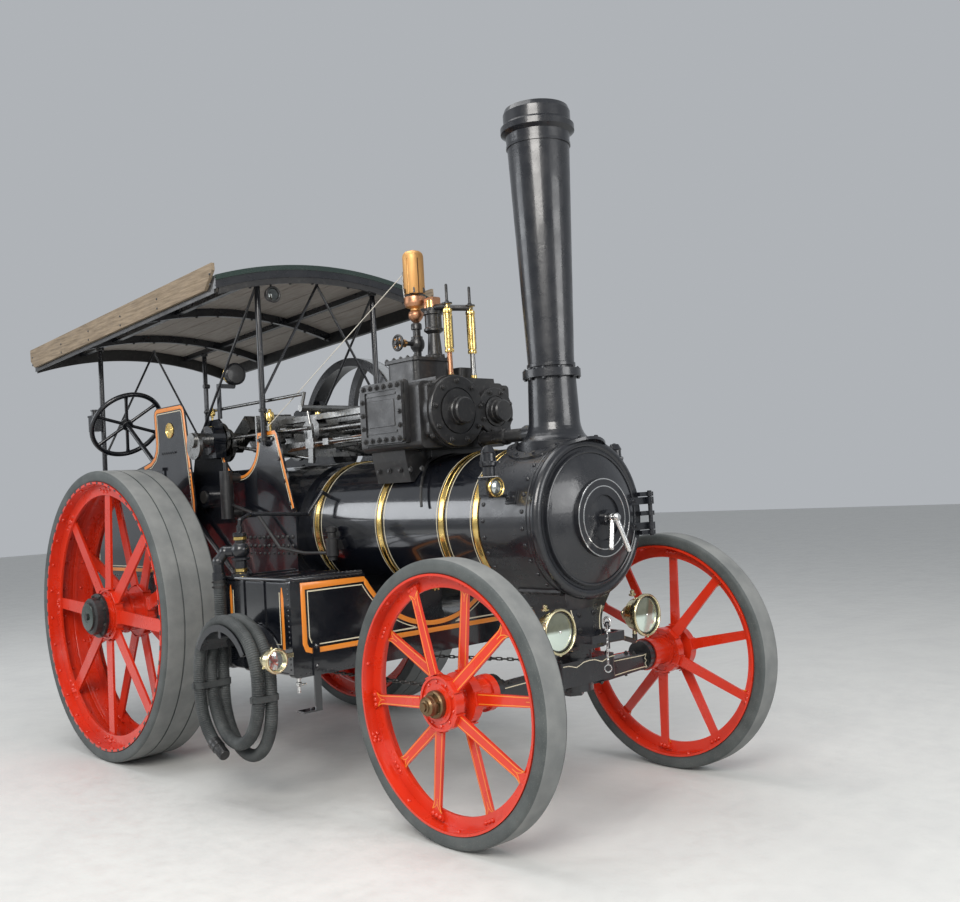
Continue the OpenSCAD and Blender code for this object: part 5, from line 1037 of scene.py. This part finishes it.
# The right side plate above the tender
sheet = mm("-3700 2026, -3680 2030, -3590 2050, -3530 2085, -3500 2130, -3490 2180, -3505 2390, -3492 2422, "
           "-3460 2440, -3080 2440, -3050 2420, -3034 2390, -2930 1740, -2930 1570")
for piece, inset, width in ((orange, 0.021, 0.026), (cream, 0.046, 0.0055)):
    piece.stripe([(p.x, -SHEET_Y, p.y) for p in inward(sheet, inset)], RIGHT, width)
row(black.nut, (-3.385, -SHEET_Y, 2.1), (0.032, 0, 0), 7, RIGHT, 0.0095)
row(black.rivet, (-3.0, -SHEET_Y, 1.64), (0.002, 0, 0.03), 12, RIGHT, 0.0075)
plate = facing((-3.262, -SHEET_Y, 2.262), RIGHT)
badge.turn("56 0, 57.5 3, 56 6.2, 49.5 6.2, 47.5 3.6, 30 3.6, 29 5, 27 5, 26 3.6, 0 3.6", plate, 64)
circle(badge.rivet, plate, 0.04, 0.0034, 4, 45, RIGHT, 0.004)
# A tall oiler on the top piece of the right hornplate
oilers.turn("8.5 0, 8.5 45, 15 50, 15 60, 26 68, 27.5 76, 27.5 115, 24 124, 12 130, 12 142, 5 148, 0 149",
            ((-2.16, -0.457, 2.171), UP), 32)

# The pressure gauge: a brass bezel, a pale dial and its needle, facing the driver
GAUGE = Vector((-2.8305, -0.33, 2.634))


def on_dial(angle, r, lift):
    """A place on the gauge's face, the angle in degrees from the left over the top."""
    return GAUGE + Vector((-lift, r * cos(radians(angle)), r * sin(radians(angle))))


oilers.torus(GAUGE + Vector((-0.002, 0, 0)), BACK, 0.0745, 0.006, 56, 12)
dial = Piece("gauge_dial", CREAM)
dial.turn("72 -0.5, 70 0.8, 35 1, 0 1", (GAUGE, BACK), 48)
marks = Piece("gauge_marks", IRON)
for k in range(13):
    inner, width = (0.054, 0.0026) if k % 3 else (0.048, 0.004)
    marks.stripe([on_dial(22.5 * k - 45, r, 0.0012) for r in (inner, 0.0635)], BACK, width)
marks.sweep([on_dial(128, r, 0.0042) for r in (-0.016, 0.052)], lambda t: 0.0024 - 0.0014 * t, 8)
marks.turn("6.2 0, 6.2 5, 4 6.8, 0 7", (GAUGE, BACK), 16)
marks.turn("69 39.5, 67 45.5, 35 50, 0 51", (GAUGE, FRONT), 40)

# Canopy: planks under the roof, valances, dark boards of painted shade inside the fascias, edge strips, post clamps,
# its lamp and the whistle cord

EAVE, CANOPY_FRONT, CANOPY_REACH = 3.147, 2.01, 5.1
CANOPY_HALF, CANOPY_RISE, CANOPY_FALL = 0.9, 0.143, 0.139
CANOPY_R = (CANOPY_HALF ** 2 + CANOPY_RISE ** 2) / (2 * CANOPY_RISE)
TILT = asin(CANOPY_FALL / (CANOPY_REACH - CANOPY_FRONT))
CANOPY_LONG = (CANOPY_REACH - CANOPY_FRONT - CANOPY_RISE * sin(TILT)) / cos(TILT)
POST_X, POST_Y = -2.2, 0.484


def under_roof(x, y, drop):
    """A place below the roof's top face: x forward of the front edge, y across, and the drop from the top."""
    z = CANOPY_RISE - CANOPY_R + sqrt((CANOPY_R - drop) ** 2 - y * y)
    return Vector((-CANOPY_FRONT + x * cos(TILT) - z * sin(TILT), y, EAVE + x * sin(TILT) + z * cos(TILT)))


def spread(half, count):
    """Evenly spaced numbers from -half to half."""
    return [half * (2 * i / count - 1) for i in range(count + 1)]


PLANK_HALF, PLANK_GAP = 0.876, 0.01
planks = Piece("roof_planks", PLANKS, sharp=20)
for middle in spread(PLANK_HALF * 7 / 8, 7):
    across = [middle + y for y in spread((PLANK_HALF / 4 - PLANK_GAP) / 2, 6)]
    planks.skin([under_roof(x, y, drop) for x in (-0.006, -CANOPY_LONG + 0.006)
                 for drop, way in ((0.01, across), (0.0205, across[::-1])) for y in way], 14)
# One piece for the front and back valances and for the dark boards of painted shade inside the fascias
valances_and_shade_boards = Piece("roof_valances_and_shade_boards", IRON)
for x in (-0.004, -CANOPY_LONG + 0.024):
    corners = ((x - 0.02, 0.016), (x, 0.016), (x, 0.118), (x - 0.02, 0.118))
    valances_and_shade_boards.skin([under_roof(back, y, drop) for y in spread(PLANK_HALF, 40) for back, drop in corners], 4)
strip = Piece("roof_edge_strips", GREEN)
strip.stripe([under_roof(-0.001, y, 0.012) for y in spread(0.898, 48)], FRONT, 0.03, 0.006)
for x in (-0.001, -CANOPY_LONG + 0.007):
    strip.sweep([under_roof(x, y, 0.027) for y in spread(0.898, 48)], 0.0062, 10)
fittings = Piece("canopy_fittings", IRON)
for side, out in SIDES:
    # Dark boards inside both fascias: painted shade, near-black sheets put where the roof's edges leave the fascias'
    # inner faces in shade
    corners = ((0.8985, 0.015), (0.879, 0.015), (0.879, 0.104), (0.8985, 0.104))
    valances_and_shade_boards.skin([under_roof(x, side * y, drop) for x in (-0.03, -CANOPY_LONG + 0.03) for y, drop in corners], 4)
    for back in (0.03, 0.76, 1.34, 1.9, 2.43, CANOPY_LONG - 0.045):
        row(fittings.rivet, under_roof(-back, side * CANOPY_HALF, 0.0) + Vector((0, side * 0.0218, -0.055)),
            (0, 0, 0.065), 2, out, 0.0085)
    for x, z in ((POST_X, 3.165), (-4.712, 3.05)):
        fittings.turn("20 0, 29 2, 31 8, 31 30, 20 34", ((x, side * POST_Y, z), UP), 24)
    for z in (2.104, 2.3):
        fittings.turn("18 0, 28 3, 28 22, 18 26", ((POST_X, side * POST_Y, z), UP), 24)
    for back, drop in ((0.022, 0.118), (CANOPY_LONG * 0.43 - 0.017, 0.0802), (CANOPY_LONG * 0.78 - 0.017, 0.0802)):
        for y in (0.15, 0.33, 0.64, 0.84):
            fittings.nut(under_roof(-back, side * y, drop), DOWN, 0.0085)

# A round lamp hung under the front bow, beside the right post
hung = Vector((-2.05, -0.458, 3.069))
body = Piece("canopy_lamp", IRON)
body.turn("0 -58, 20 -56, 42 -40, 50 -18, 50 4, 46 4", (hung, FRONT), 40)
body.sweep([hung + Vector(p) for p in mm("-20 0 46, -20 0 75, 5 0 112")], 0.0075, 10)
rim = Piece("canopy_lamp_rim", IRON)
rim.torus(hung + Vector((0.005, 0, 0)), FRONT, 0.049, 0.0072, 48, 12)
lens = Piece("canopy_lamp_glass", DARK_GLASS)
lens.turn("47 1, 44 3, 25 6.8, 0 8.5", (hung, FRONT), 40)

# The whistle cord, laid of three strands, from the whistle's lever to an eye on the front right post
lever = Piece("whistle_lever", STEEL)
pull = Vector((-1.07, -0.14, 3.052))
lever.sweep(mm("-1055 -128 2868, -1080 -134 2890, -1082 -140 2960, -1080 -140 3042"), 0.0055, 10)
for eye in (pull, (-2.1765, -0.48, 2.19)):
    lever.torus(eye, (0.35, -0.94, 0), 0.011, 0.0032, 20, 8)
CORD_R, STRANDS = 0.0032, 3
cord_start = pull + Vector((-0.009, -0.003, -0.005))
cord = Vector((-2.168, -0.477, 2.196)) - cord_start
side = cord.normalized().orthogonal().normalized()
over = cord.normalized().cross(side)
turns = cord.length / 0.022
steps = int(turns * 8)
rope = Piece("whistle_cord", ROPE, sharp=60)
for strand in range(STRANDS):
    twist = [2 * pi * (turns * i / steps + strand / STRANDS) for i in range(steps + 1)]
    rope.sweep([cord_start + cord * (i / steps) + (side * cos(a) + over * sin(a)) * 0.0015
                for i, a in enumerate(twist)], 0.00165, 6)
rope.build()

# Tender, rear end, motion and driver's place

TENDER_SIDE, TENDER_BACK, RIVET_R = 0.63, -4.68, 0.0085


def rounded_panel(u0, v0, u1, v1, r=0.05):
    """A rectangle's outline with rounded corners."""
    corners = ((u1 - r, v1 - r, 0), (u0 + r, v1 - r, 90), (u0 + r, v0 + r, 180), (u1 - r, v0 + r, 270))
    return [(u + r * cos(radians(start + a)), v + r * sin(radians(start + a)))
            for u, v, start in corners for a in range(0, 91, 15)]


rivets = Piece("tender_rivets", GLOSS)
orange = Piece("tender_orange_lining", ORANGE)
cream = Piece("tender_cream_lining", CREAM)
iron = Piece("rear_end_bolts", IRON)
for side, out in SIDES:
    skin = side * (TENDER_SIDE - 0.0002)
    row(rivets.rivet, (-3.395, skin, 0.86), (0, 0, 0.0295), 38, out, RIVET_R)
    for z in (0.85, 1.188, 1.945):
        row(rivets.rivet, (-3.44, skin, z), (-0.042, 0, 0), 28, out, RIVET_R)
    row(rivets.rivet, (TENDER_BACK + 0.072, skin, 0.895), (0, 0, 0.041), 26, out, RIVET_R)
    row(rivets.rivet, (TENDER_BACK + 0.0002, side * (TENDER_SIDE - 0.072), 0.895), (0, 0, 0.041), 26, BACK, RIVET_R)
    for piece, inset, width in ((orange, 0.0, 0.026), (cream, 0.027, 0.006)):
        panel = rounded_panel(-4.575 + inset, 1.235 + inset, -3.45 - inset, 1.895 - inset)
        piece.stripe([(u, side * TENDER_SIDE, v) for u, v in panel], out, width, closed=True)
    row(iron.bolt, (-4.681, side * 0.11, 0.9), (0, 0, 0.09), 2, BACK, 0.014)
    row(iron.bolt, (-2.935, side * 0.492, 2.158), (0.15, 0, 0), 2, UP, 0.0145)
    for x in (-3.29, -3.12):
        row(iron.bolt, (x, side * 0.5502, 0.885), (0, 0, 0.215), 2, out, 0.014)
for z in (0.85, 1.945):
    row(rivets.rivet, (TENDER_BACK + 0.0002, -0.55, z), (0, 0.044, 0), 26, BACK, RIVET_R)
for piece, inset, width in ((orange, 0.0, 0.026), (cream, 0.027, 0.006)):
    panel = rounded_panel(-0.52 + inset, 1.245 + inset, 0.52 - inset, 1.895 - inset)
    piece.stripe([(TENDER_BACK, u, v) for u, v in panel], BACK, width, closed=True)
for a in ring_of(14, 6):
    iron.rivet((-2.776, 0.17 * cos(a), 1.4 + 0.17 * sin(a)), BACK, 0.008)
glass = Piece("rear_lamp_glass", RED_GLASS)
glass.turn("33 0, 31 4, 18 9, 0 11", ((-4.767, -0.549, 2.432), BACK), 32)
trim = Piece("rear_lamp_trim", BRASS)
trim.torus((-4.7675, -0.549, 2.432), BACK, 0.0345, 0.004, 36, 10)

# Steering wheel on its inclined column: rim, spokes that swell in the middle, hub and a bright nut
COLUMN_ANGLE, COLUMN_LONG, WORM_LIFT = radians(36.4), 2.8, 0.076
up = Vector((-cos(COLUMN_ANGLE), 0, sin(COLUMN_ANGLE)))
top = Vector((-1.975 + WORM_LIFT * sin(COLUMN_ANGLE), -0.52, 0.66 + WORM_LIFT * cos(COLUMN_ANGLE))) + up * COLUMN_LONG
wheel = facing(top, up, LEFT)
helm = Piece("driver_steering_wheel", SATIN, "steering_wheel")
helm.sweep([wheel @ polar(0.2805, a) for a in ring_of(96)], 0.0192, 14, closed=True)
for a in ring_of(6, 15):
    helm.sweep([wheel @ polar(r, a) for r in (0.026, 0.07, 0.23, 0.266)], lambda t: 0.0165 - 0.004 * sin(pi * t), 12)
helm.turn("0 -20, 40 -20, 44 -16, 44 16, 40 24, 30 40, 0 44", wheel, 40)
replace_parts(helm.build(), "steering_wheel")
hub = Piece("steering_wheel_nut", STEEL, "steering_wheel")
hub.turn("24 43, 24 56, 21 60, 0 60", wheel, 6)
hub.turn("12 58, 12 70, 9 73, 0 73", wheel, 16)

# Flywheel rim, water lifter's collars and the oil pipes to the cylinders
fly = Piece("flywheel_tread", SILVER, "flywheel")
fly.turn("639.2 -64, 640.8 -61, 641.6 0, 640.8 61, 639.2 64", ((-2.86, 0.77, 2.16), LEFT), 160)
collar = Piece("lifter_collar", BRASS)
for profile in ("33.5 24, 37.5 27, 37.5 44, 33.5 47", "30 212, 38.5 215, 38.5 232, 30 235"):
    collar.turn(profile, ((-1.69, -1.0, 1.27), UP), 32)
pipes = Piece("oil_pipes", COPPER)
for y, z in ((-0.33, 2.085), (-0.352, 2.072)):
    pipes.sweep([(x, y, z - drop) for x, drop in mm("-1196 0, -1400 10, -1800 30, -2120 45")], 0.0052, 8)

for piece in list(Piece.every):
    piece.build()

# Floor and studio light

FLOOR = painted("pale_floor", (0.62, 0.62, 0.6), (0.58, 0.58, 0.565), 0.55, 0.0, 0.0003, dust=0.05)
floor_mesh = bpy.data.meshes.new("floor")
floor_mesh.from_pydata([(-40, -40, 0), (40, -40, 0), (40, 40, 0), (-40, 40, 0)], [], [(0, 1, 2, 3)])
floor_mesh.materials.append(FLOOR)
linked("floor", floor_mesh)


def area_light(name, place, aim, size, power, color=(1, 1, 1)):
    """A rectangular lamp that shines at the place aim."""
    data = bpy.data.lights.new(name, "AREA")
    data.shape = "RECTANGLE"
    data.size, data.size_y = size
    data.energy = power
    data.color = color
    item = linked(name, data)
    item.location = place
    item.rotation_euler = (Vector(aim) - Vector(place)).to_track_quat("-Z", "Y").to_euler()


area_light("key", (6.5, -7.5, 6.5), (0, 0, 1.4), (5, 4), 860, (1.0, 0.97, 0.93))
area_light("fill", (-7.0, -8.0, 4.5), (-1, 0, 1.3), (6, 4), 300, (0.93, 0.96, 1.0))
area_light("front", (9.5, 1.5, 3.5), (1.5, 0, 1.4), (4, 3), 210)
area_light("top", (-0.5, -1.0, 9.0), (-0.5, 0, 1.0), (7, 5), 380)

world = bpy.data.worlds.new("studio")
bpy.context.scene.world = world
world.use_nodes = True
sky = world.node_tree.nodes["Background"].inputs
sky["Color"].default_value = (0.86, 0.9, 0.95, 1)
sky["Strength"].default_value = 0.5
bpy.context.scene.view_settings.view_transform = "Standard"
